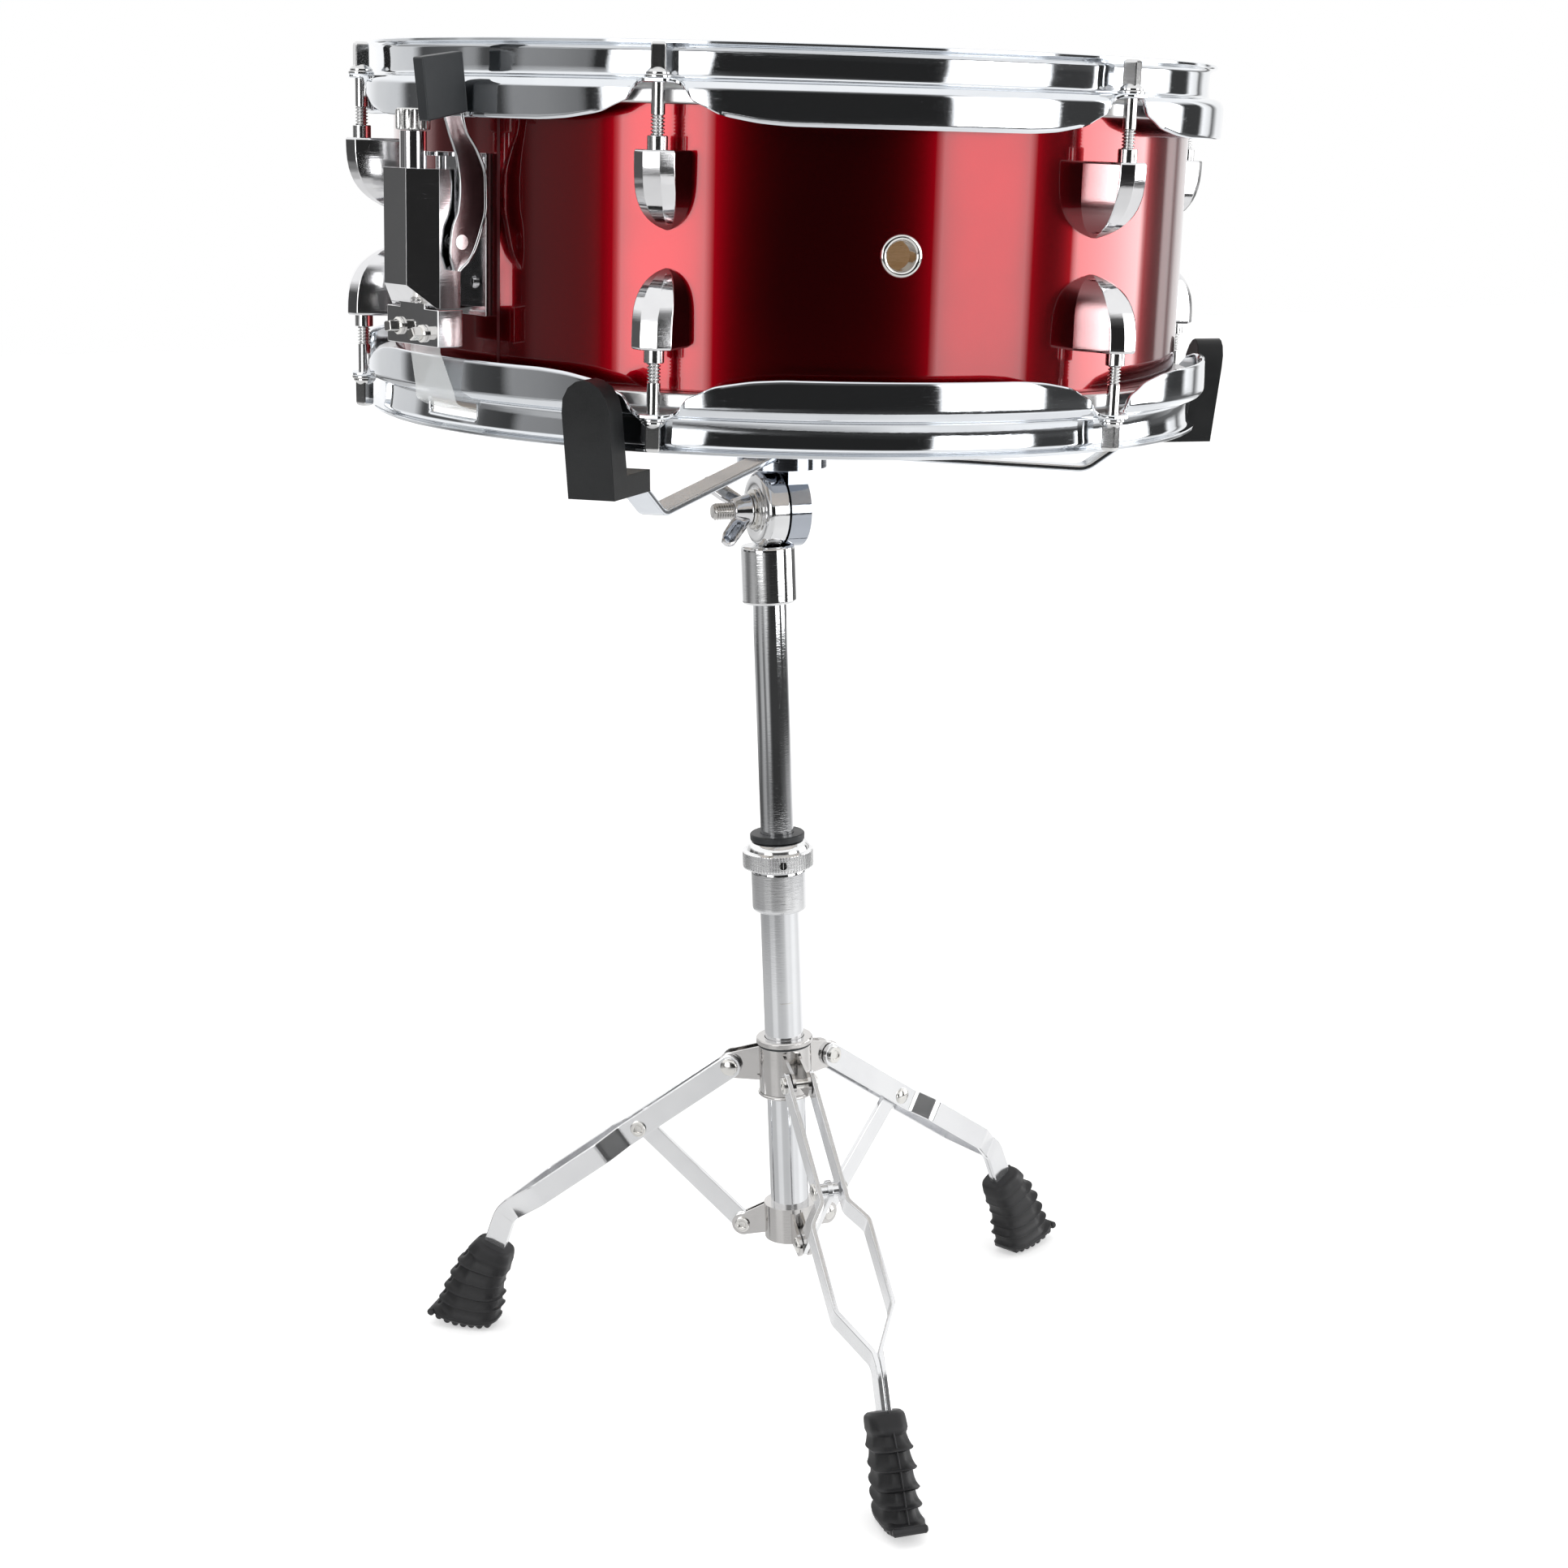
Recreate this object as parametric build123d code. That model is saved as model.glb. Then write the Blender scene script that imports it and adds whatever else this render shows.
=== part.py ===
from build123d import *
import os
from math import sin, cos, tan, radians, degrees, hypot, atan2, sqrt, pi

os.makedirs("parts", exist_ok=True)

# ---- driving dimensions, millimetres; +Z up, floor at Z = 0, stand tube on the Z axis
SHELL_R, SHELL_T, SHELL_H = 177.8, 6.0, 70.0      # 14 x 5.5 in shell, half height
WRAP_T = 0.5
HOOP_WALL_I, HOOP_WALL_O, HOOP_SKIRT_O, HOOP_T = 183.8, 186.0, 192.4, 2.2
HOOP_LIP_R, HOOP_TOP, HOOP_STEP, HOOP_EDGE = 188.5, 79.0, 62.5, 48.6
ROD_R, ROD_A0, ROD_N, EAR_R = 193.0, -16.18, 6, 198.0
STR_AZ, BUTT_AZ = -49.0, 131.0
LEV_R, LEV_Z = 194.5, -1.0                          # throw lever hinge: radius and height in the drum frame
GATE_W, GATE_Z0, GATE_Z1 = 34.0, 65.2, 73.0
DRUM_POS, DRUM_ROT = (14.415, 0.0, 557.15), (0.738, 3.536, 0.0)
PIVOT_Z = 431.6
BASKET_ROT = (0.3, 1.9, 0.0)
BASKET_C = (7.4, 0.5)
CLAW_AZ = {"left": -22.3, "right": 97.7, "rear": 217.7}
LEG_AZ = {"front": 13.96, "right": 133.96, "left": 253.96}
TUBE_LO_R, TUBE_LO_I, TUBE_UP_R, TUBE_UP_I = 9.525, 8.03, 7.95, 6.6
LEG_A, LEG_C, LEG_K, LEG_F, STRUT_B = (27.0, 155.0), (76.0, 119.0), (153.5, 64.5), (166.5, 31.0), (24.4, 70.0)
LEG_W, STRUT_W = 11.5, 10.0
TILT_AZ = -68.8                                    # pivot axis, toward the wing nut

U = Location((0, 0, PIVOT_Z), BASKET_ROT)
D = Location(DRUM_POS, DRUM_ROT)


def cyl(r, z0, z1, x=0, y=0):
    return Pos(x, y, (z0 + z1) / 2) * Cylinder(r, z1 - z0)


def ring(ro, ri, z0, z1):
    return cyl(ro, z0, z1) - cyl(ri, z0 - 1, z1 + 1)


def box(x0, x1, y0, y1, z0, z1):
    return Pos((x0 + x1) / 2, (y0 + y1) / 2, (z0 + z1) / 2) * Box(x1 - x0, y1 - y0, z1 - z0)


def pol(az):
    """local X = outward radial, local Y = tangential, Z up"""
    return Rot(0, 0, az - 90)


def rz(pts, t0, t1):
    """outline in the radial-vertical plane, thick from t0 to t1 tangentially"""
    return Pos(0, t1, 0) * extrude(Plane.XZ * Polygon(*pts, align=None), t1 - t0, dir=(0, -1, 0))


def tz(pts, r0, r1):
    """outline in the tangential-vertical plane, from radius r0 to r1"""
    return Pos(r0, 0, 0) * extrude(Plane.YZ * Polygon(*pts, align=None), r1 - r0, dir=(1, 0, 0))


def tr(pts, z0, z1):
    """outline (radius, tangent) in plan, from z0 to z1"""
    return Pos(0, 0, z0) * extrude(Polygon(*pts, align=None), z1 - z0, dir=(0, 0, 1))


def rev(pts):
    return revolve(Plane.XZ * Polygon(*pts, align=None), Axis.Z)


def strip(c, w):
    """polygon of width w round the centre polyline c, mitred"""
    L, R = [], []
    n = len(c)
    for i in range(n):
        ds = []
        if i > 0:
            ds.append((c[i][0] - c[i - 1][0], c[i][1] - c[i - 1][1]))
        if i < n - 1:
            ds.append((c[i + 1][0] - c[i][0], c[i + 1][1] - c[i][1]))
        ns = [(-d[1] / hypot(*d), d[0] / hypot(*d)) for d in ds]
        m = (sum(a[0] for a in ns), sum(a[1] for a in ns))
        k = hypot(*m)
        m = (m[0] / k, m[1] / k)
        s = (w / 2) / (m[0] * ns[0][0] + m[1] * ns[0][1])
        L.append((c[i][0] + m[0] * s, c[i][1] + m[1] * s))
        R.append((c[i][0] - m[0] * s, c[i][1] - m[1] * s))
    return L + R[::-1]


def pin(r, y0, y1, x, z):
    """cylinder along local Y"""
    return Pos(x, (y0 + y1) / 2, z) * Rot(90, 0, 0) * Cylinder(r, y1 - y0)


def rpin(r, x0, x1, y=0, z=0):
    """cylinder along local X"""
    return Pos((x0 + x1) / 2, y, z) * Rot(0, 90, 0) * Cylinder(r, x1 - x0)


def put(name, shapes, loc=None):
    if not isinstance(shapes, (list, tuple)):
        shapes = [shapes]
    flat = []
    for s in shapes:
        flat += list(s.solids())
    if loc is not None:
        flat = [s.moved(loc) for s in flat]
    export_step(flat[0] if len(flat) == 1 else Compound(children=flat), "parts/%s.step" % name)


# ================= stand, lower part (vertical)
put("lower_tube", ring(TUBE_LO_R, TUBE_LO_I, 66.8, 266.4) + cyl(TUBE_LO_R, 64.4, 66.8))
put("clamp_sleeve", ring(13.2, TUBE_LO_R, 236.1, 257.4) + ring(11.5, TUBE_LO_R, 257.3, 266.4))
put("clamp_bush", rev([(8.02, 266.4), (11.3, 266.4), (11.3, 271.6), (13.2, 271.6), (13.2, 274.0), (12.7, 274.6), (8.02, 274.6)]))
nut = rev([(11.57, 257.7), (16.7, 257.7), (17.3, 258.3), (17.3, 266.1), (16.7, 266.7), (15.5, 266.9), (15.0, 268.6), (13.6, 270.5), (11.57, 271.3)])
for i in range(36):
    nut -= Rot(0, 0, i * 10) * box(16.8, 18, -0.7, 0.7, 258.8, 265.6)
nut -= pol(0) * rpin(1.6, 13, 18, 0, 261.8)
put("clamp_ring", nut)

# lower collar with three pairs of ears
lc = ring(13.0, TUBE_LO_R, 65.6, 83.7)
rv = []
for az in LEG_AZ.values():
    for s in (-1, 1):
        y0, y1 = (1.6, 3.1) if s > 0 else (-3.1, -1.6)
        ear = rz([(11.5, 67.0), (STRUT_B[0], 64.5), (STRUT_B[0], 75.5), (11.5, 82.5)], y0, y1) + pin(5.5, y0, y1, *STRUT_B)
        lc += pol(az) * (ear - pin(2.2, -5, 5, *STRUT_B))
    rv.append(pol(az) * (pin(2.2, -3.1, 3.1, *STRUT_B) + pin(3.6, 3.1, 4.3, *STRUT_B) + pin(3.6, -4.3, -3.1, *STRUT_B)))
put("lower_collar", lc)
put("lower_collar_rivets", rv)

# sliding leg collar
uc = ring(13.0, 9.6, 143.2, 169.0)
ri, wa = [], []
for az in LEG_AZ.values():
    for s in (-1, 1):
        y0, y1 = sorted((s * 3.0, s * 4.5))
        ear = rz([(11.0, 148.5), (LEG_A[0], 148.5), (LEG_A[0], 161.5), (11.0, 166.0)], y0, y1) + pin(6.5, y0, y1, *LEG_A)
        uc += pol(az) * (ear - pin(2.5, -6, 6, *LEG_A))
        y0, y1 = sorted((s * 4.5, s * 4.65))
        wa.append(pol(az) * (pin(5.2, y0, y1, *LEG_A) - pin(2.5, y0 - 1, y1 + 1, *LEG_A)))
        y0, y1 = sorted((s * 7.6, s * 9.0))
        ri.append(pol(az) * pin(4.4, y0, y1, *LEG_A))
    ri[-1] = ri[-1] + ri[-2] + pol(az) * pin(2.5, -8.9, 8.9, *LEG_A)
    ri.pop(-2)
uc -= rev([(12.4, 151.0), (14, 151.0), (14, 151.8), (12.4, 151.8)]) & pol(200) * box(0, 20, -20, 20, 150, 153)
SCR = 196.0
uc -= pol(SCR) * rpin(2.05, 8, 14, 0, 155)
put("upper_collar", uc)
put("collar_trim_rings", [rev([(9.6, 169.0), (13.9, 169.0), (13.9, 170.2), (13.2, 171.0), (9.6, 171.0)]),
                          rev([(9.6, 143.2), (13.6, 143.2), (14.1, 142.3), (13.6, 141.4), (9.6, 141.4)])])
put("collar_rivets", ri)
put("pivot_washers", wa)
put("collar_screw", pol(SCR) * (rpin(2.0, 10.2, 15, 0, 155) + (rpin(4.0, 13.6, 17.2, 0, 155) - box(16.3, 18, -0.6, 0.6, 150, 160))))

# legs, struts, feet
LY = [(168, 6.1), (114, 6.1), (106.5, 13.5), (81.5, 13.5), (65.5, 1.15), (5, 1.15)]   # (z, y) of one bar
FOOT = [(150.3, 43.5), (168.5, 51.2), (174.0, 47.5), (181.0, 38.5), (188.5, 24.0), (198.0, 9.0), (197.5, 6.3), (187.0, 2.2), (181.0, 0.0), (168.0, 0.0),
        (163.0, 2.6), (159.0, 8.0), (156.5, 20.0), (152.0, 36.0)]
for nm, az in LEG_AZ.items():
    prof = rz(strip([LEG_A, LEG_K, LEG_F], LEG_W), -30, 30) + pin(LEG_W / 2, -30, 30, *LEG_A)
    bars = None
    for s in (1, -1):
        path = [(y * s, z) for z, y in LY]
        b = prof & tz(strip(path, 2.3), 0, 240)
        bars = b if bars is None else bars + b
    bars -= pin(2.56, -30, 30, *LEG_A)
    bars -= pin(2.0, -30, 30, *LEG_C)
    put("leg_" + nm, pol(az) * bars)
    put("strut_rivet_" + nm, [pol(az) * (pin(2.0, 4.98, 7.3, *LEG_C) + pin(3.8, 7.25, 8.6, *LEG_C)),
                              pol(az) * (pin(2.0, -7.3, -4.98, *LEG_C) + pin(3.8, -8.6, -7.25, *LEG_C))])
    ft = rz(FOOT, -9.5, 9.5)
    ft = ft & (tz([(-9.5, 0), (9.5, 0), (9.5, 40), (8.0, 52), (-8.0, 52), (-9.5, 40)], 140, 210))
    for k in range(4):
        z0 = 9 + 7 * k
        g = rz([(140, z0), (215, z0 + 8), (215, z0 + 10.2), (140, z0 + 2.2)], -12, 12)
        ft -= g - rz([(p[0] * 0.93 + 0.07 * 170, p[1] * 0.93 + 0.07 * 22) for p in FOOT], -8.2, 8.2)
    ft -= prof & tz(strip([(y, z) for z, y in ((90, 0), (5, 0))], 4.6), 0, 240)
    put("foot_" + nm, pol(az) * ft)
    cv = (LEG_C[0] - STRUT_B[0], LEG_C[1] - STRUT_B[1])
    st = rz(strip([STRUT_B, LEG_C], STRUT_W), -1.25, 1.25) + pin(STRUT_W / 2, -1.25, 1.25, *STRUT_B) + pin(STRUT_W / 2, -1.25, 1.25, *LEG_C)
    st += pin(3.6, -4.6, 4.6, *LEG_C)
    st -= pin(2.25, -5, 5, *STRUT_B)
    put("strut_" + nm, pol(az) * st)

# ================= upper tube and tilter
put("upper_tube", ring(TUBE_UP_R, TUBE_UP_I, 130.0, 411.0))
AX = Rot(0, 0, TILT_AZ - 90)                         # local X = pivot axis toward the wing nut
sock = U * (AX * rpin(18.0, -5.5, 5.5)) + (cyl(12.75, 386.0, 414.0)) + cyl(7.0, 408, 420)
sock -= cyl(TUBE_UP_R, 380.0, 411.0)
sock -= U * (AX * rpin(4.0, -8, 8))
sock -= U * (AX * box(-40, -5.5, -19, 19, -19, 19)) & cyl(40, 410, 460)
put("tilter_socket", sock)
bolt = rpin(4.0, -19.0, 27.0) + rpin(8.0, -20.6, -16.4)
put("tilter_bolt", AX * bolt, U)
put("tilter_washers", AX * (rpin(9.5, 5.5, 7.2) + rpin(7.5, 7.2, 8.6) - rpin(4.0, 4, 10)), U)
wn = Rot(0, 90, 0) * Cone(7.5, 5.8, 8.0)
wn = Pos(13.0, 0, 0) * wn + rpin(7.5, 8.9, 9.6)
for a in (137, 317):
    wing = tr([(9.6, 3.5), (16.5, 4.5), (21.5, 8.5), (26.5, 14.5), (27.0, 18.0), (25.0, 20.5), (21.5, 20.3), (17.0, 15.0), (12.0, 9.5), (9.6, 7.2)], -1.3, 1.3)
    wn += Rot(a, 0, 0) * wing
wn -= rpin(4.05, 5, 30)
put("wing_nut", AX * wn, U)

# ================= basket
BC = Pos(BASKET_C[0], BASKET_C[1], 0)
hub = cyl(21.0, 20.0, 31.5)
for az in CLAW_AZ.values():
    hub -= pol(az) * box(6.0, 30, -6.4, 6.4, 24.2, 27.8)
hub = BC * hub
earx = AX * (rpin(18.0, -16.0, -6.0) + box(-16.0, -6.0, -13.0, 13.0, 0, 22.0))
hub = hub + earx - AX * rpin(4.06, -30, 5)
put("basket_hub", hub, U)
CLAW = [(170.0, 29.4), (203.8, 29.4), (209.8, 77.5), (197.6, 77.5), (191.8, 38.4), (170.0, 38.4)]
ARM = [(8.0, 26.0), (25.0, 26.0), (145.0, 16.7), (170.0, 33.6), (198.0, 33.6)]
ARCH = [(-10.25, 20), (10.25, 20), (10.25, 64.0), (9.4, 69.5), (6.8, 73.8), (3.3, 76.2), (0, 77.0), (-3.3, 76.2), (-6.8, 73.8), (-9.4, 69.5), (-10.25, 64.0)]
for nm, az in CLAW_AZ.items():
    put("arm_" + nm, BC * pol(az) * rz(strip(ARM, 2.8), -6.0, 6.0), U)
    g = (rz(CLAW, -10.25, 10.25) & tz(ARCH, 160, 215)) - rz(strip(ARM, 2.8), -6.0, 6.0)
    put("grip_" + nm, BC * pol(az) * g, U)

# ================= drum, local frame at its centre, +Z through the top head
shell = ring(SHELL_R, SHELL_R - SHELL_T, -SHELL_H, SHELL_H)
vent = lambda r: pol(13.7) * rpin(r, 165, 190)
put("drum_shell", shell - vent(6.5), D)
put("shell_wrap", ring(SHELL_R + WRAP_T, SHELL_R, -68.5, 68.5) - vent(6.5), D)
vg = pol(13.7) * (rpin(6.5, 171.0, 179.5) + rpin(8.6, 178.4, 180.0) + rpin(8.2, 169.8, 171.3)) - vent(4.6)
vg -= ring(SHELL_R + WRAP_T, SHELL_R - SHELL_T, -30, 30) - pol(13.7) * rpin(6.5, 165, 190)
put("vent_grommet", vg, D)

hoop = rev([(HOOP_WALL_I, HOOP_TOP), (HOOP_LIP_R, HOOP_TOP), (HOOP_LIP_R, HOOP_TOP - 2.0), (HOOP_WALL_O, HOOP_TOP - 3.0), (HOOP_WALL_O, HOOP_STEP + HOOP_T),
            (HOOP_SKIRT_O, HOOP_STEP + HOOP_T), (HOOP_SKIRT_O, HOOP_EDGE), (HOOP_SKIRT_O - HOOP_T, HOOP_EDGE), (HOOP_SKIRT_O - HOOP_T, HOOP_STEP), (HOOP_WALL_I, HOOP_STEP)])
SC = [(55, HOOP_EDGE), (41, 49.3), (32, 50.6), (24, 52.2), (19, 54.5), (12.3, 57.3), (9, 60.0), (7.0, HOOP_STEP)]   # (tangent, edge height) beside an ear
SC = [(-56, 45)] + [(-a, b) for a, b in SC] + SC[::-1] + [(56, 45)]
for i in range(ROD_N):
    q = pol(ROD_A0 + 60 * i)
    hoop -= q * tz(SC, 178.0, 200.0)
    hoop += q * (box(186.5, EAR_R - 4, -9, 9, HOOP_STEP, HOOP_STEP + HOOP_T) + box(EAR_R - 5, EAR_R, -6, 6, HOOP_STEP, HOOP_STEP + HOOP_T))
    hoop -= q * cyl(3.3, 55, 70, ROD_R, 0)
MIR = lambda s: mirror(s, Plane.XY)
put("batter_hoop", hoop, D)
bh = MIR(hoop)
for a in (STR_AZ, BUTT_AZ):
    bh -= pol(a) * box(180, 189.5, -GATE_W / 2, GATE_W / 2, -GATE_Z1, -GATE_Z0)
put("snare_hoop", bh, D)
hr = ring(182.8, 179.3, 55.0, 62.4)
head = cyl(179.2, SHELL_H, SHELL_H + 0.35) + ring(179.2, 178.7, 58.0, SHELL_H + 0.3)
put("batter_head", head, D)
put("batter_head_ring", hr + ring(187.5, 179.3, 55.0, 61.0), D)
hd2 = MIR(cyl(179.2, SHELL_H, SHELL_H + 0.25) + ring(179.2, 178.7, 58.0, SHELL_H + 0.2))
put("snare_head", hd2, D)
put("snare_head_ring", MIR(hr + ring(187.5, 179.3, 55.0, 61.0)), D)

rods, wash, lugs, ins, scr = [], [], [], [], []
plan = [(178.0, -12), (184.5, -12), (196.0, -8.5), (200.3, -6.5), (200.3, 6.5), (196.0, 8.5), (184.5, 12), (178.0, 12)]
side = [(177, 7.5), (181.5, 7.5), (188, 9.5), (194, 14.5), (198, 21), (199.8, 28), (200.3, 36.6), (199.0, 38), (177, 38)]
front = [(-12, 38), (-12, 21), (-10.2, 15), (-6.5, 10.4), (0, 7.5), (6.5, 10.4), (10.2, 15), (12, 21), (12, 38)]
lug = (tr(plan, 7.5, 38) & rz(side, -13, 13) & tz(front, 170, 205)) - cyl(SHELL_R + WRAP_T, 0, 45)
lug -= cyl(2.5, 12, 45, ROD_R - 0.0, 0)
rod = cyl(2.5, 14, 67, ROD_R, 0) + cyl(4.4, 66.0, 67.4, ROD_R, 0) + Pos(ROD_R, 0, 72.0) * Rot(0, 0, 8) * Box(6.2, 6.2, 10.0)
wsh = cyl(5.2, HOOP_STEP + HOOP_T, 66.0, ROD_R, 0) - cyl(2.5, 60, 70, ROD_R, 0)
isr = cyl(4.0, 38.0, 43.2, ROD_R, 0) - cyl(2.5, 30, 50, ROD_R, 0)
for i in range(ROD_N):
    q = pol(ROD_A0 + 60 * i)
    for m in (lambda s: s, MIR):
        rods.append(q * m(rod)); wash.append(q * m(wsh)); lugs.append(q * m(lug)); ins.append(q * m(isr))
        scr.append(q * m(rpin(4.0, 170.0, 171.74, 0, 22)))
put("tension_rods", rods, D)
put("rod_washers", wash, D)
put("lugs", lugs, D)
put("lug_inserts", ins, D)
put("shell_screws", scr, D)

# strainer (throw-off), local X radial, Y tangential
S = pol(STR_AZ)
plate = box(177.5, 181.0, -18, 18, -31, 34) - cyl(SHELL_R + WRAP_T, -60, 60) + rpin(3.4, 180.9, 182.6, 8, -17.5) + rpin(3.4, 180.9, 182.6, -8, 24)
put("strainer_base", S * plate, D)
body = tr([(181.0, -10), (193.0, -17), (203.0, -17), (213.0, -8), (213.0, 8), (203.0, 17), (193.0, 17), (181.0, 10)], -27.5, 27.5)
body -= rpin(2.5, 181, 182.6, 8, -17.5) + rpin(3.6, 180, 183, -8, 24) + rpin(3.6, 180, 184, 8, -17.5)
body += cyl(5.5, 27.4, 42.0, 204, 0) - cyl(3.05, 20, 50, 204, 0)
body -= cyl(3.05, 20, 50, 204, 0)
body += cyl(2.2, 27.4, 33.0, 190.5, 0) + cyl(6.0, 32.4, 34.0, 190.5, 0)
body -= rz([(203.0, -28.5), (214.0, -28.5), (214.0, -17.5)], -20, 20)
body += pin(3.0, 16.9, 20.6, LEV_R, LEV_Z)
body -= box(198.6, 205.4, -9.4, 9.4, -28, -16)
put("strainer_body", S * body, D)
knob = cyl(6.9, 42.3, 50.5, 204, 0)
for i in range(24):
    knob -= Pos(204, 0, 46.5) * Rot(0, 0, i * 15) * box(6.5, 7.5, -0.35, 0.35, -3.2, 3.2)
put("strainer_knob", S * (knob + cyl(3.0, 22.0, 42.4, 204, 0)), D)
LEV = [(196.5, -12.5), (189.0, -7.0), (184.0, 3.0), (181.4, 14.0), (181.4, 26.0), (185.0, 36.0), (193.5, 45.0), (194.5, 54), (206.5, 53), (200.8, 44.0),
       (196.6, 36.0), (191.5, 25.0), (191.6, 17.0), (197.0, 11.0), (200.5, 3.0), (200.5, -6.0)]
lev = rz(LEV, 17.4, 20.4) - pin(3.05, 15, 25, LEV_R, LEV_Z)
put("throw_lever", S * lev, D)
CAP = [(211.6, 45.8), (214.5, 70.2), (195.2, 73.2), (192.6, 50.0)]
cap = rz(CAP, 15.4, 22.4) - rz(LEV, 17.4, 20.4)
put("lever_cap", S * cap, D)
clamp = box(199.0, 205.0, -18.5, 18.5, -43.0, -28.0) + rpin(2.8, 204.9, 206.6, -9, -36) + rpin(2.8, 204.9, 206.6, 8, -38)
clamp += box(199.0, 205.0, -9, 9, -28.1, -17.0)
clamp += box(192.8, 205.0, 15.5, 18.5, -43.0, -28.0)
clamp += box(196.4, 198.2, -16.0, 15.6, -43.0, -31.0)
clamp += box(196.5, 205.0, 13.0, 18.5, -43.0, -31.0)
put("snare_clamp", S * clamp, D)
for nm, a, top, rr in (("snare_strap_throw", STR_AZ, -32.0, 198.6), ("snare_strap_butt", BUTT_AZ, -38.5, 193.6)):
    if nm.endswith("throw"):
        c = [(rr, top), (rr, -46.0), (194.0, -61.5), (193.6, -66.5), (188.0, -69.0), (178.0, -71.5), (162.0, -71.6)]
    else:
        c = [(rr, top), (rr, -46.0), (194.0, -61.5), (193.6, -66.5), (188.0, -69.0), (178.0, -71.5), (162.0, -71.6)]
    put(nm, pol(a) * rz(strip(c, 0.5), -12.5, 12.5), D)
butt = box(177.5, 181.0, -17, 17, -44, -20) - cyl(SHELL_R + WRAP_T, -60, 60) + box(181.0, 193.2, -15, 15, -42, -24) + box(194.0, 196.4, -15, 15, -42, -28)
butt += box(192, 196.4, -15, -13.0, -42, -24) + box(192, 196.4, 13.0, 15, -42, -24) + rpin(2.8, 196.3, 198, -9, -35) + rpin(2.8, 196.3, 198, 9, -35)
butt += box(193.1, 196.4, -15, 15, -28, -24)
put("butt_plate", pol(BUTT_AZ) * butt, D)
wires = []
for i in range(20):
    y = -20 + 40 * i / 19
    wires.append(Pos(0, y, -72.75) * Rot(0, 90, 0) * Cylinder(0.8, 300))
wires += [box(148, 163, -21, 21, -73.1, -71.9), box(-163, -148, -21, 21, -73.1, -71.9)]
wr = wires[0]
for w in wires[1:]:
    wr = wr + w
put("snare_wires", pol(STR_AZ) * wr, D)
print("nodes", len(os.listdir("parts")))
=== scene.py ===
import bpy, bmesh, math
import numpy as np
from mathutils import Matrix, Vector


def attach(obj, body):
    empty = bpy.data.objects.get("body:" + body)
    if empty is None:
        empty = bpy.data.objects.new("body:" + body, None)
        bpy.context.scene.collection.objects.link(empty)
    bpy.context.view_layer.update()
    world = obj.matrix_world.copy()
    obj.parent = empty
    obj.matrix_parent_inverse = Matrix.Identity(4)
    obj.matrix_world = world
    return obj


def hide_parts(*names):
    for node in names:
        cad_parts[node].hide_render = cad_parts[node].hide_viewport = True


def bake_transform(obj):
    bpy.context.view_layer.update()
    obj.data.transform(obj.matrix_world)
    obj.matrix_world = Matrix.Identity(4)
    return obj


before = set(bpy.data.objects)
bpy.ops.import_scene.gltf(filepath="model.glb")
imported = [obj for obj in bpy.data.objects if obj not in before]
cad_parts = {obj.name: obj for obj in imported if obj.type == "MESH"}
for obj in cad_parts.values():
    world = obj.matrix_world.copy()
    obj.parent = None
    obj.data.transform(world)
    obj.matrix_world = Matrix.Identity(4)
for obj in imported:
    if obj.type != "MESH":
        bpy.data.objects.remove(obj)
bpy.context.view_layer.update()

MM = 0.001
rad = math.radians
sin, cos, pi = math.sin, math.cos, math.pi
ALL = []

# ------------------------------------------------------------------ dimensions, millimetres
STR_AZ, BUTT_AZ, ROD_A0, ROD_R, VENT_AZ = -49.0, 131.0, -16.18, 193.0, 13.7
LEG_AZ = {"front": 13.96, "right": 133.96, "left": 253.96}
CLAW_AZ = {"left": -22.3, "right": 97.7, "rear": 217.7}
TILT_AZ = -68.8


def loc(p, rx=0.0, ry=0.0):
    return Matrix.Translation(Vector(p) * MM) @ Matrix.Rotation(rad(rx), 4, "X") @ Matrix.Rotation(rad(ry), 4, "Y")


DM = loc((14.415, 0, 557.15), 0.738, 3.536)
UM = loc((0, 0, 431.6), 0.3, 1.9)
BCM = UM @ loc((7.4, 0.5, 0))
I4 = Matrix.Identity(4)


def polm(az):
    return Matrix.Rotation(rad(az - 90), 4, "Z")


# ------------------------------------------------------------------ materials
def newmat(name):
    m = bpy.data.materials.new("look_" + name)
    m["slot"] = name
    m.use_nodes = True
    nt = m.node_tree
    b = nt.nodes["Principled BSDF"]
    return m, nt, b


def node(nt, kind, **kw):
    n = nt.nodes.new(kind)
    for k, v in kw.items():
        if k.startswith("_"):
            setattr(n, k[1:], v)
        else:
            n.inputs[k.replace("__", " ")].default_value = v
    return n


def noise(nt, coord, scale, detail=3.0, rough=0.5, stretch=None):
    if stretch is not None:
        mp = nt.nodes.new("ShaderNodeMapping")
        mp.inputs["Scale"].default_value = stretch
        nt.links.new(coord, mp.inputs["Vector"])
        coord = mp.outputs["Vector"]
    n = nt.nodes.new("ShaderNodeTexNoise")
    n.inputs["Scale"].default_value = scale
    n.inputs["Detail"].default_value = detail
    n.inputs["Roughness"].default_value = rough
    nt.links.new(coord, n.inputs["Vector"])
    return n.outputs["Fac"]


def remap(nt, fac, a, b, c, d):
    n = nt.nodes.new("ShaderNodeMapRange")
    n.inputs["From Min"].default_value = a
    n.inputs["From Max"].default_value = b
    n.inputs["To Min"].default_value = c
    n.inputs["To Max"].default_value = d
    nt.links.new(fac, n.inputs["Value"])
    return n.outputs["Result"]


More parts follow.
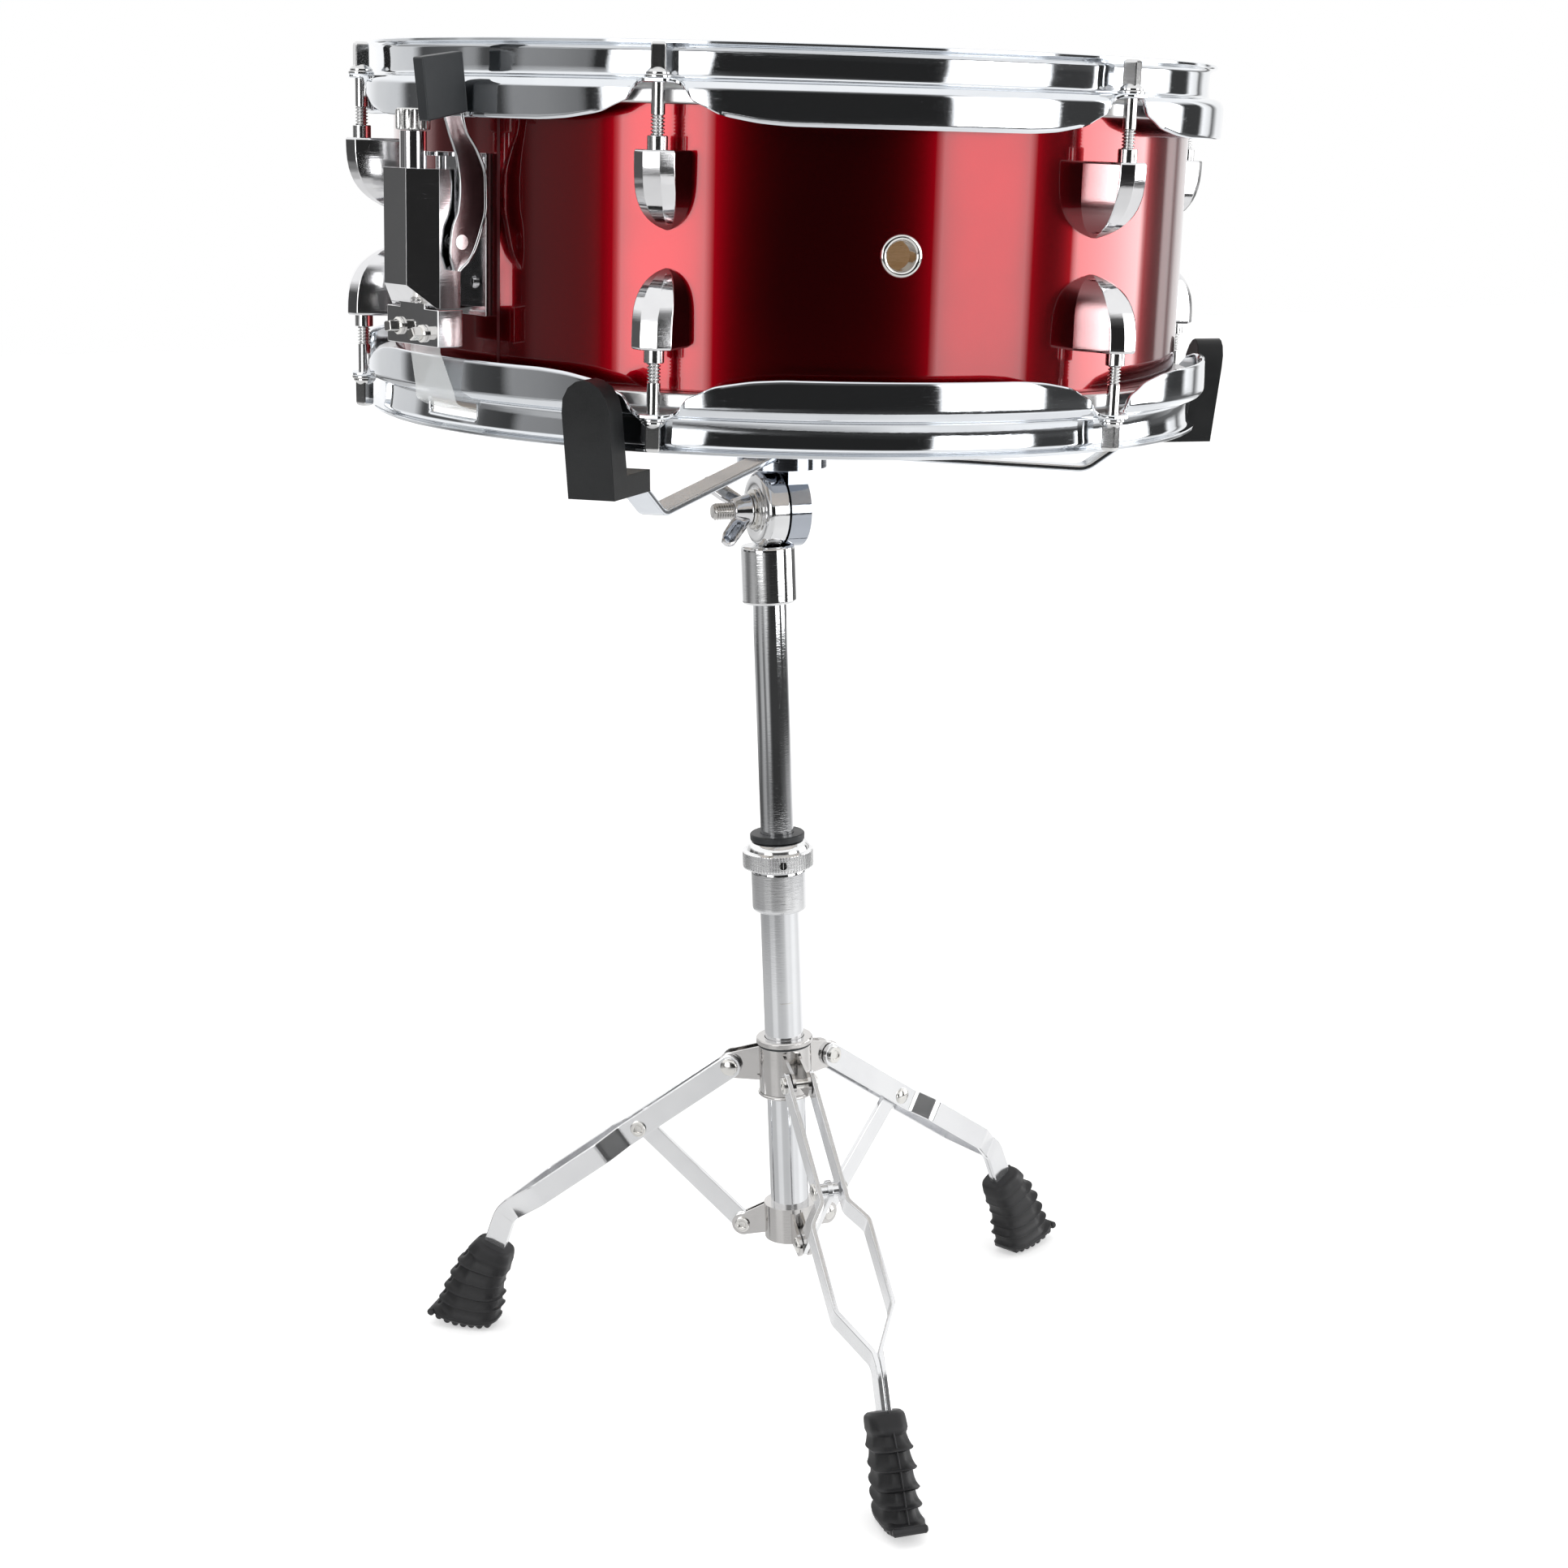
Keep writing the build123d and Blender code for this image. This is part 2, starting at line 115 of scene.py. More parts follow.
def mixc(nt, fac, c1, c2):
    n = nt.nodes.new("ShaderNodeMix")
    n.data_type = "RGBA"
    nt.links.new(fac, n.inputs["Factor"])
    for sock, c in ((n.inputs[6], c1), (n.inputs[7], c2)):
        if hasattr(c, "links"):
            nt.links.new(c, sock)
        else:
            sock.default_value = (*c, 1)
    return n.outputs[2]


def bump(nt, b, height, strength, dist, prev=None):
    n = nt.nodes.new("ShaderNodeBump")
    n.inputs["Strength"].default_value = strength
    n.inputs["Distance"].default_value = dist
    nt.links.new(height, n.inputs["Height"])
    if prev is not None:
        nt.links.new(prev, n.inputs["Normal"])
    nt.links.new(n.outputs["Normal"], b.inputs["Normal"])
    return n.outputs["Normal"]


def edge(nt, lo=0.5, hi=0.56):
    g = nt.nodes.new("ShaderNodeNewGeometry")
    return remap(nt, g.outputs["Pointiness"], lo, hi, 0.0, 1.0)


def metal(name, col, col2, r0, r1, bumpy=0.02, scale=260.0, streak=None, wear=0.25, metallic=1.0):
    """plated metal: cloudy gloss, hairline scratches, lighter rubbed edges, faint tarnish"""
    m, nt, b = newmat(name)
    tc = nt.nodes.new("ShaderNodeTexCoord").outputs["Object"]
    b.inputs["Metallic"].default_value = metallic
    cloud = noise(nt, tc, 34.0, 4.0, 0.6)
    tint = mixc(nt, remap(nt, cloud, 0.35, 0.7, 0, 1), col, col2)
    e = edge(nt)
    hi = tuple(min(1, c * 1.06 + 0.03) for c in col)
    nt.links.new(mixc(nt, remap(nt, e, 0, 1, 0, wear), tint, hi), b.inputs["Base Color"])
    scr = noise(nt, tc, scale, 2.0, 0.5, streak or (1.0, 1.0, 9.0))
    sum_ = nt.nodes.new("ShaderNodeMath")
    sum_.operation = "ADD"
    nt.links.new(remap(nt, cloud, 0.3, 0.75, r0, r1), sum_.inputs[0])
    nt.links.new(remap(nt, scr, 0.58, 0.75, 0.0, 0.06), sum_.inputs[1])
    nt.links.new(sum_.outputs[0], b.inputs["Roughness"])
    pits = noise(nt, tc, 900.0, 2.0, 0.5)
    n1 = bump(nt, b, scr, bumpy, 0.0003)
    bump(nt, b, pits, bumpy * 0.6, 0.0002, n1)
    return m


CHROME = metal("chrome_tube", (0.80, 0.81, 0.825), (0.75, 0.76, 0.78), 0.02, 0.05)
SHEET = metal("chrome_sheet", (0.79, 0.795, 0.80), (0.71, 0.715, 0.73), 0.05, 0.13, 0.04, 180)
FLAT = metal("chrome_flat", (0.85, 0.855, 0.865), (0.80, 0.805, 0.82), 0.10, 0.18, 0.04, 240, metallic=0.93)
# darker, bluer copy of chrome_flat for the basket arms: painted shade in its colour
ARM_SHADE_FLAT = metal("chrome_flat_arm", (0.76, 0.79, 0.83), (0.69, 0.72, 0.765), 0.07, 0.15, 0.04, 240)
ARM_SHADE_FLAT["slot"] = "chrome_flat"
COLL = metal("collar_plate", (0.66, 0.645, 0.635), (0.60, 0.59, 0.58), 0.09, 0.18, 0.05, 220)
COLL["slot"] = "chrome_sheet"
NICKEL = metal("nickel", (0.80, 0.79, 0.765), (0.73, 0.715, 0.69), 0.10, 0.2, 0.05, 300)
HOOPM = metal("hoop_chrome", (0.795, 0.82, 0.85), (0.745, 0.77, 0.805), 0.03, 0.07, 0.015)
CAST = metal("cast_chrome", (0.80, 0.80, 0.81), (0.72, 0.72, 0.735), 0.05, 0.12, 0.03, 200)
# darker, bluer copy of chrome_sheet for the basket hub: painted shade in its colour
HUB_SHADE_SHEET = metal("hub_chrome", (0.44, 0.47, 0.52), (0.37, 0.40, 0.45), 0.05, 0.12, 0.04, 180)
HUB_SHADE_SHEET["slot"] = "chrome_sheet"
BOLTM = metal("bolt_steel", (0.62, 0.61, 0.595), (0.50, 0.49, 0.475), 0.12, 0.24, 0.05, 300)
BOLTM["slot"] = "nickel"
# darker copy of cast_chrome for the throw lever blade: its dark reflections are painted into the colour
LEVER_DARK_REFLECTION = metal("lever_chrome", (0.47, 0.475, 0.485), (0.40, 0.405, 0.415), 0.05, 0.12, 0.03, 200, wear=0.6)
LEVER_DARK_REFLECTION["slot"] = "cast_chrome"
RODM = metal("rod_steel", (0.76, 0.76, 0.76), (0.66, 0.66, 0.66), 0.10, 0.2, 0.03, 300)
KNURL = metal("ring_nut", (0.92, 0.92, 0.925), (0.85, 0.855, 0.86), 0.09, 0.18, 0.05, 300)
KNOBM = metal("knob", (0.70, 0.70, 0.69), (0.60, 0.60, 0.59), 0.22, 0.36, 0.05, 300)
GROM = metal("grommet", (0.80, 0.79, 0.77), (0.70, 0.69, 0.66), 0.06, 0.14)
ALU = metal("head_hoop", (0.72, 0.72, 0.72), (0.62, 0.62, 0.62), 0.25, 0.4)
WIRE = metal("snare_steel", (0.66, 0.64, 0.60), (0.55, 0.53, 0.49), 0.2, 0.34)


def dull(name, col, col2, r0, r1, grain, gs, spec=0.5, dust=None):
    """moulded black plastic or rubber: fine moulding grain, dusty and rubbed patches"""
    m, nt, b = newmat(name)
    tc = nt.nodes.new("ShaderNodeTexCoord").outputs["Object"]
    b.inputs["Specular IOR Level"].default_value = spec
    cloud = noise(nt, tc, 60.0, 5.0, 0.6)
    c = mixc(nt, remap(nt, cloud, 0.35, 0.7, 0, 1), col, col2)
    e = edge(nt, 0.51, 0.58)
    c = mixc(nt, remap(nt, e, 0, 1, 0, 0.5), c, dust or tuple(x * 2.2 for x in col2))
    nt.links.new(c, b.inputs["Base Color"])
    nt.links.new(remap(nt, cloud, 0.3, 0.7, r0, r1), b.inputs["Roughness"])
    g = noise(nt, tc, gs, 3.0, 0.6)
    n1 = bump(nt, b, g, grain, 0.0004)
    w = noise(nt, tc, 130.0, 2.0, 0.5)
    bump(nt, b, w, grain * 0.5, 0.0006, n1)
    return m


# near-black material for the ring nut's key hole: painted shade inside the hole
RING_HOLE_SHADE = dull("ring_nut_pit", (0.004, 0.004, 0.004), (0.007, 0.007, 0.007), 0.7, 0.9, 0.05, 1400, 0.08, (0.01, 0.01, 0.01))
RING_HOLE_SHADE["slot"] = "ring_nut"
RUBF = dull("rubber_foot", (0.011, 0.011, 0.012), (0.018, 0.018, 0.019), 0.42, 0.6, 0.12, 1400, 0.32)
RUBG = dull("rubber_grip", (0.007, 0.0075, 0.008), (0.012, 0.0125, 0.013), 0.36, 0.5, 0.10, 1600, 0.2)
BLACK = dull("black_plastic", (0.012, 0.0135, 0.015), (0.018, 0.020, 0.022), 0.34, 0.46, 0.10, 1500, 0.38)


def wrap_mat():
    """candy red: metallic flake under a clear gloss coat"""
    m, nt, b = newmat("red_wrap")
    tc = nt.nodes.new("ShaderNodeTexCoord").outputs["Object"]
    b.inputs["Metallic"].default_value = 1.0
    b.inputs["Coat Weight"].default_value = 1.0
    b.inputs["Coat Roughness"].default_value = 0.015
    b.inputs["Coat IOR"].default_value = 1.5
    fine = noise(nt, tc, 1300.0, 3.0, 0.6)
    cloud = noise(nt, tc, 20.0, 3.0, 0.5)
    c = mixc(nt, remap(nt, cloud, 0.35, 0.7, 0, 1), (0.228, 0.0006, 0.0050), (0.204, 0.0005, 0.0040))
    c = mixc(nt, remap(nt, fine, 0.56, 0.8, 0, 0.12), c, (0.27, 0.0010, 0.0065))
    nt.links.new(c, b.inputs["Base Color"])
    nt.links.new(remap(nt, cloud, 0.3, 0.7, 0.215, 0.245), b.inputs["Roughness"])
    peel = noise(nt, tc, 150.0, 2.0, 0.5)
    bump(nt, b, peel, 0.002, 0.0002)
    return m


def seam_mat():
    m, nt, b = newmat("wrap_seam")
    tc = nt.nodes.new("ShaderNodeTexCoord").outputs["Object"]
    n = noise(nt, tc, 300.0, 3.0, 0.6)
    nt.links.new(mixc(nt, n, (0.035, 0.001, 0.002), (0.06, 0.002, 0.004)), b.inputs["Base Color"])
    nt.links.new(remap(nt, n, 0.3, 0.7, 0.3, 0.5), b.inputs["Roughness"])
    return m


def wood_mat():
    m, nt, b = newmat("wood")
    tc = nt.nodes.new("ShaderNodeTexCoord").outputs["Object"]
    g = noise(nt, tc, 28.0, 6.0, 0.62, (1.0, 1.0, 14.0))
    p = noise(nt, tc, 500.0, 3.0, 0.5, (1.0, 1.0, 5.0))
    c = mixc(nt, remap(nt, g, 0.3, 0.7, 0, 1), (0.50, 0.30, 0.145), (0.68, 0.47, 0.27))
    c = mixc(nt, remap(nt, p, 0.55, 0.75, 0, 0.5), c, (0.36, 0.20, 0.09))
    nt.links.new(c, b.inputs["Base Color"])
    nt.links.new(remap(nt, g, 0.3, 0.7, 0.32, 0.5), b.inputs["Roughness"])
    bump(nt, b, p, 0.12, 0.0005)
    return m


def film_mat(name, alpha, rough, col, col2, speck):
    m, nt, b = newmat(name)
    tc = nt.nodes.new("ShaderNodeTexCoord").outputs["Object"]
    s = noise(nt, tc, 1500.0, 3.0, 0.6)
    cloud = noise(nt, tc, 16.0, 4.0, 0.6)
    nt.links.new(mixc(nt, remap(nt, cloud, 0.3, 0.7, 0, 1), col, col2), b.inputs["Base Color"])
    nt.links.new(remap(nt, cloud, 0.3, 0.7, rough, rough * 1.5), b.inputs["Roughness"])
    if alpha < 1:
        b.inputs["Alpha"].default_value = alpha
    bump(nt, b, s, speck, 0.0004)
    return m


WRAP, SEAM, WOOD = wrap_mat(), seam_mat(), wood_mat()
COAT = film_mat("head_coated", 1.0, 0.55, (0.86, 0.86, 0.84), (0.82, 0.82, 0.80), 0.5)
CLEAR = film_mat("head_clear", 0.5, 0.18, (0.85, 0.86, 0.85), (0.80, 0.81, 0.80), 0.05)
STRAP = film_mat("strap", 0.32, 0.14, (0.86, 0.88, 0.88), (0.80, 0.82, 0.82), 0.08)


# ------------------------------------------------------------------ mesh helpers
def finish_mesh(me, sharp):
    bm = bmesh.new()
    bm.from_mesh(me)
    bmesh.ops.recalc_face_normals(bm, faces=bm.faces)
    bm.to_mesh(me)
    bm.free()
    me.shade_smooth()
    me.set_sharp_from_angle(angle=rad(sharp))


def flat_faces(me, lim=46.0):
    """area-weighted corner normals, so wide facets shade flat and only the rounded edges turn"""
    nf, nl, nv = len(me.polygons), len(me.loops), len(me.vertices)
    fn = np.empty(nf * 3)
    me.polygons.foreach_get("normal", fn)
    fn = fn.reshape(-1, 3)
    ar = np.empty(nf)
    me.polygons.foreach_get("area", ar)
    ls = np.empty(nf, int)
    me.polygons.foreach_get("loop_total", ls)
    vi = np.empty(nl, int)
    me.loops.foreach_get("vertex_index", vi)
    fi = np.repeat(np.arange(nf), ls)
    order = np.argsort(vi, kind="stable")
    cnt = np.bincount(vi, minlength=nv)
    start = np.r_[0, np.cumsum(cnt)[:-1]]
    out = np.zeros((nl, 3))
    cl = cos(rad(lim))
    for k in range(int(cnt.max())):                     # k-th neighbour of every corner's vertex
        ok = cnt[vi] > k
        g = fi[order[np.minimum(start[vi] + k, nl - 1)]]
        w = np.where(ok & ((fn[g] * fn[fi]).sum(1) > cl), ar[g], 0.0)
        out += fn[g] * w[:, None]
    ln = np.linalg.norm(out, axis=1)
    bad = ln < 1e-14
    out[bad] = fn[fi][bad]
    ln[bad] = 1.0
    out /= ln[:, None]
    me.normals_split_custom_set([tuple(v) for v in out])


def piece(name, V, F, mat, body, reps=(), M=I4, sharp=32.0, slot=None, blend=None):
    me = bpy.data.meshes.new(name)
    me.from_pydata((np.asarray(V, float) * MM).tolist(), [], F)
    me.transform(M)
    me.validate()
    finish_mesh(me, sharp)
    flat_faces(me, sharp)
    me.materials.append(mat)
    o = bpy.data.objects.new(name, me)
    bpy.context.scene.collection.objects.link(o)
    if blend:
        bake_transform(o)
    else:
        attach(o, body)
    if reps:
        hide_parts(*reps)
    ALL.append(o)
    return o


def cad(node_name, mat, body, bevel=0.4, seg=2, sharp=30.0, merge=0.00002, lim=0.6):
    """a bevelled, smooth-shaded copy of one CAD node, shown in its place"""
    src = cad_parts[node_name]
    bm = bmesh.new()
    bm.from_mesh(src.data)
    bmesh.ops.remove_doubles(bm, verts=bm.verts, dist=merge)
    bmesh.ops.dissolve_limit(bm, angle_limit=rad(lim), verts=bm.verts, edges=bm.edges)
    bmesh.ops.recalc_face_normals(bm, faces=bm.faces)
    if bevel:
        es = [e for e in bm.edges if len(e.link_faces) == 2 and e.calc_face_angle(0) > rad(sharp)]
        bmesh.ops.bevel(bm, geom=es, offset=bevel * MM, segments=seg, profile=0.5, affect="EDGES", clamp_overlap=True)
    me = bpy.data.meshes.new(node_name + "_look")
    bm.to_mesh(me)
    bm.free()
    me.shade_smooth()
    flat_faces(me)
    me.materials.clear()
    me.materials.append(mat)
    o = bpy.data.objects.new(node_name + "_look", me)
    bpy.context.scene.collection.objects.link(o)
    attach(o, body)
    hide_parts(node_name)
    ALL.append(o)
    return o


def fillet(pts, r, n=4, closed=True):
    """polygon with every corner rounded; r a number or a list"""
    out = []
    N = len(pts)
    for i, p in enumerate(pts):
        ri = r[i] if isinstance(r, (list, tuple)) else r
        if ri <= 0 or (not closed and i in (0, N - 1)):
            out.append(p)
            continue
        a, b = np.array(pts[i - 1], float), np.array(pts[(i + 1) % N], float)
        p = np.array(p, float)
        u, v = a - p, b - p
        lu, lv = np.linalg.norm(u), np.linalg.norm(v)
        u, v = u / lu, v / lv
        ang = math.acos(max(-1, min(1, float(u @ v))))
        if ang > pi - 0.02:
            out.append(tuple(p))
            continue
        d = min(ri / math.tan(ang / 2), lu * 0.49, lv * 0.49)
        rr = d * math.tan(ang / 2)
        w = (u + v) / np.linalg.norm(u + v)
        c = p + w * (rr / math.sin(ang / 2))
        s, e = p + u * d, p + v * d
        a0 = math.atan2(*(s - c)[::-1])
        a1 = math.atan2(*(e - c)[::-1])
        da = (a1 - a0 + pi) % (2 * pi) - pi
        for k in range(n + 1):
            t = a0 + da * k / n
            out.append((c[0] + rr * cos(t), c[1] + rr * sin(t)))
    return out


def revolve(prof, seg=160, a0=0.0, a1=360.0):
    """closed (r, z) profile round Z"""
    full = abs(a1 - a0 - 360) < 1e-6
    n = seg if full else seg + 1
    A = [rad(a0 + (a1 - a0) * i / seg) for i in range(n)]
    V = [(r * cos(a), r * sin(a), z) for a in A for r, z in prof]
    m = len(prof)
    F = []
    for i in range(seg):
        j = (i + 1) % n
        for k in range(m):
            l = (k + 1) % m
            F.append((i * m + k, j * m + k, j * m + l, i * m + l))
    if not full:
        F.append(tuple(range(m)))
        F.append(tuple((n - 1) * m + k for k in range(m))[::-1])
    return V, F


def join(parts):
    V, F = [], []
    for v, f in parts:
        o = len(V)
        V += list(v)
        F += [tuple(i + o for i in q) for q in f]
    return V, F


def xf(part, M):
    """4x4 (in mm) applied to a (V, F) pair"""
    V = [tuple(M @ Vector(v)) for v in part[0]]
    return V, part[1]


def mmt(x, y, z):
    return Matrix.Translation((x, y, z))


XAX = Matrix.Rotation(rad(90), 4, "Y")                # takes local Z to local X


# ------------------------------------------------------------------ drum: shell, wrap, vent, heads
def holed(R, z0, z1, phi, rh, flip=False, cols=180, name=None):
    """open cylinder wall with one round hole, all points on the cylinder"""
    V, F = [], []
    half, hz = 4.0, 13.0                      # patch half sizes in degrees and mm
    ring_n = 48
    zs = [z0, z0 * 0.5 - hz * 0.5, -hz, hz, z1 * 0.5 + hz * 0.5, z1]
    az = [phi + half + (360 - 2 * half) * i / cols for i in range(cols + 1)]
    def P(a, z):
        t = rad(a)
        V.append((R * sin(t), -R * cos(t), z))
        return len(V) - 1
    grid = [[P(a, z) for z in zs] for a in az]
    for i in range(cols):
        for k in range(len(zs) - 1):
            F.append((grid[i][k], grid[i + 1][k], grid[i + 1][k + 1], grid[i][k + 1]))
    # strips above and below the patch
    m = ring_n // 4
    ax = [phi - half + 2 * half * i / m for i in range(m + 1)]
    def col(i, k):
        if i == 0:
            return grid[cols][k]
        if i == m:
            return grid[0][k]
        return mids[i - 1][k]
    mids = [[P(a, z) for z in zs] for a in ax[1:-1]]
    for i in range(m):
        for k in (0, 1, 3, 4):
            F.append((col(i, k), col(i + 1, k), col(i + 1, k + 1), col(i, k + 1)))
    zz = [-hz + 2 * hz * i / m for i in range(m + 1)]
    loop = [col(i, 2) for i in range(m)]
    right = [grid[0][2]] + [P(phi + half, z) for z in zz[1:-1]]
    loop += right
    loop += [col(m - i, 3) for i in range(m)]
    loop += [grid[cols][3]] + [P(phi - half, z) for z in zz[1:-1]][::-1]
    n = len(loop)
    circ = []
    for v in loop:
        x, y, z = V[v]
        a = math.degrees(math.atan2(x, -y))
        s = rad(((a - phi + 180) % 360) - 180) * R
        t = math.atan2(z, s)
        circ.append(P(phi + math.degrees(rh * cos(t) / R), rh * sin(t)))
    for i in range(n):
        j = (i + 1) % n
        F.append((loop[i], loop[j], circ[j], circ[i]))
    # the patch's side edges carry extra points that the big grid does not share, so T-junctions stay there
    return V, F


def weld(o, d=0.00001):
    bm = bmesh.new()
    bm.from_mesh(o.data)
    bmesh.ops.remove_doubles(bm, verts=bm.verts, dist=d)
    bm.to_mesh(o.data)
    bm.free()


wrap_o = piece("wrap_skin", *holed(178.3, -68.5, 68.5, VENT_AZ, 6.6), WRAP, "drum", ["shell_wrap"], DM)
inv_ = DM.inverted()
nr_ = []
for v_ in wrap_o.data.vertices:
    q_ = inv_ @ v_.co
    nr_.append((DM.to_3x3() @ Vector((q_.x, q_.y, 0))).normalized())
wrap_o.data.normals_split_custom_set_from_vertices(nr_)
wa, wf = [], []
for i in range(5):
    t = rad(-42.2 + (i - 2) * 0.14)
    for z in (-68.4, 68.4):
        wa.append((178.34 * sin(t), -178.34 * cos(t), z))
wf = [(2 * i, 2 * i + 2, 2 * i + 3, 2 * i + 1) for i in range(4)]
piece("wrap_overlap_seam", wa, wf, SEAM, "drum", (), DM, slot="red_wrap")
prof = [(177.8, -70), (178.2, -68.6)]
inner = holed(171.8, -68.0, 68.0, VENT_AZ, 6.6)
edges = [revolve(fillet([(171.8, s * 67.9), (171.8, s * 68.5), (176.3, s * 70.0), (177.8, s * 70.0), (178.0, s * 67.9)], 0.2, 2), 180) for s in (1, -1)]
piece("shell_wood", *join([inner] + edges), WOOD, "drum", ["drum_shell"], DM)
gr_ = revolve([(5.75, -7.2), (6.45, -7.2), (6.45, -0.25), (8.3, -0.25), (8.5, 0.15), (8.35, 0.6), (7.9, 0.95), (7.3, 1.08), (6.7, 0.95), (6.2, 0.55), (5.85, -0.2), (5.75, -1.4)], 64)
piece("vent_grommet_ring", *xf(gr_, polm(VENT_AZ) @ mmt(178.3, 0, 0) @ XAX), GROM, "drum", ["vent_grommet"], DM, 60)

# heads
def disc(R, z, drop, r_in, n=160, rings=(0.0, 0.25, 0.5, 0.75, 0.93, 1.0)):
    prof = [(R * q, z) for q in rings] + [(R + 0.5, z - 0.6), (R + 0.7, z - drop)]
    V = [(0, 0, z)]
    F = []
    for i in range(n):
        a = 2 * pi * i / n
        V += [(r * cos(a), r * sin(a), zz) for r, zz in prof[1:]]
    m = len(prof) - 1
    for i in range(n):
        j = (i + 1) % n
        F.append((0, 1 + i * m, 1 + j * m))
        for k in range(m - 1):
            F.append((1 + i * m + k, 1 + i * m + k + 1, 1 + j * m + k + 1, 1 + j * m + k))
    return V, F


piece("batter_film", *disc(178.5, 70.35, 10.0, 0), COAT, "drum", ["batter_head"], DM)
V, F = disc(178.5, 70.25, 10.0, 0)
piece("snare_film", [(x, y, -z) for x, y, z in V], F, CLEAR, "drum", ["snare_head"], DM)
fr = fillet([(179.4, 55.2), (187.2, 55.2), (187.2, 61.0), (183.0, 62.3), (179.4, 62.3)], 1.0, 3)
piece("batter_flesh_ring", *revolve(fr), ALU, "drum", ["batter_head_ring"], DM)
piece("snare_flesh_ring", *revolve([(r, -z) for r, z in fr]), ALU, "drum", ["snare_head_ring"], DM)


# ------------------------------------------------------------------ shared builders
def pchip(pts):
    """smooth monotone curve through (x, y) points"""
    x = np.array([p[0] for p in pts], float)
    y = np.array([p[1] for p in pts], float)
    h = np.diff(x)
    d = np.diff(y) / h
    m = np.zeros(len(x))
    for i in range(1, len(x) - 1):
        if d[i - 1] * d[i] > 0:
            w1, w2 = 2 * h[i] + h[i - 1], h[i] + 2 * h[i - 1]
            m[i] = (w1 + w2) / (w1 / d[i - 1] + w2 / d[i])
    m[0], m[-1] = d[0], d[-1]

    def f(q):
        i = int(min(max(np.searchsorted(x, q) - 1, 0), len(h) - 1))
        t = min(max((q - x[i]) / h[i], 0.0), 1.0)
        return ((1 + 2 * t) * (1 - t) ** 2 * y[i] + t * (1 - t) ** 2 * h[i] * m[i] + t * t * (3 - 2 * t) * y[i + 1] + t * t * (t - 1) * h[i] * m[i + 1])
    return f


def smooth(t):
    t = min(1.0, max(0.0, t))
    return t * t * (3 - 2 * t)


def arc(cx, cy, r, a0, a1, n):
    return [(cx + r * cos(rad(a0 + (a1 - a0) * i / n)), cy + r * sin(rad(a0 + (a1 - a0) * i / n))) for i in range(n + 1)]


def loft(rings, closed=True, caps=True):
    m = len(rings[0])
    V = [tuple(p) for r in rings for p in r]
    F = []
    for i in range(len(rings) - 1):
        for k in range(m if closed else m - 1):
            l = (k + 1) % m
            F.append((i * m + k, i * m + l, (i + 1) * m + l, (i + 1) * m + k))
    if caps:
        F.append(tuple(range(m))[::-1])
        F.append(tuple((len(rings) - 1) * m + k for k in range(m)))
    return V, F


def turn(prof, seg=48, cap0=True, cap1=True):
    """solid of revolution round Z from an open (r, z) line, ends closed with a disc"""
    rings = [[(max(r, 0.001) * cos(2 * pi * i / seg), max(r, 0.001) * sin(2 * pi * i / seg), z) for i in range(seg)] for r, z in prof]
    V, F = loft(rings, True, False)
    n = len(rings)
    if cap0:
        F.append(tuple(range(seg))[::-1])
    if cap1:
        F.append(tuple((n - 1) * seg + k for k in range(seg)))
    return V, F


def thread(rmaj, rmin, pitch, z0, z1, seg=20, per=6, caps=True):
    """threaded rod: helical ridges"""
    n = max(2, int(abs(z1 - z0) / pitch * per))
    rings = []
    for j in range(n + 1):
        z = z0 + (z1 - z0) * j / n
        env = min(1.0, 2.0 * j / per, 2.0 * (n - j) / per)
        ring_ = []
        for i in range(seg):
            ph = (z / pitch - i / seg) % 1.0
            w = 1 - abs(2 * ph - 1)
            w = min(1.0, max(0.0, (w - 0.18) / 0.62))
            r = rmin + (rmaj - rmin) * w * env
            ring_.append((r * cos(2 * pi * i / seg), r * sin(2 * pi * i / seg), z))
        rings.append(ring_)
    return loft(rings, True, caps)


def rotm(axis, a):
    return Matrix.Rotation(rad(a), 4, axis)


FLIP = Matrix.Scale(-1, 4, (0, 0, 1))


def flipz(part):
    return [(x, y, -z) for x, y, z in part[0]], [tuple(reversed(f)) for f in part[1]]


def many(part, mats):
    out = []
    for M in mats:
        out.append(xf(part, M))
    return join(out)


# ------------------------------------------------------------------ hoops: pressed flange with scallops at the ears
SCAL = pchip([(0, 63.4), (4.5, 63.0), (6.5, 61.7), (9.0, 60.0), (12.3, 57.5), (19.0, 54.5), (24.0, 52.2), (32.0, 50.6), (41.0, 49.3), (55.0, 48.6), (120, 48.6)])
TAB = pchip([(0, 198.0), (3.6, 198.0), (5.0, 197.4), (6.0, 196.0), (7.6, 193.8), (10.0, 192.6), (14.0, 191.9), (120, 191.9)])


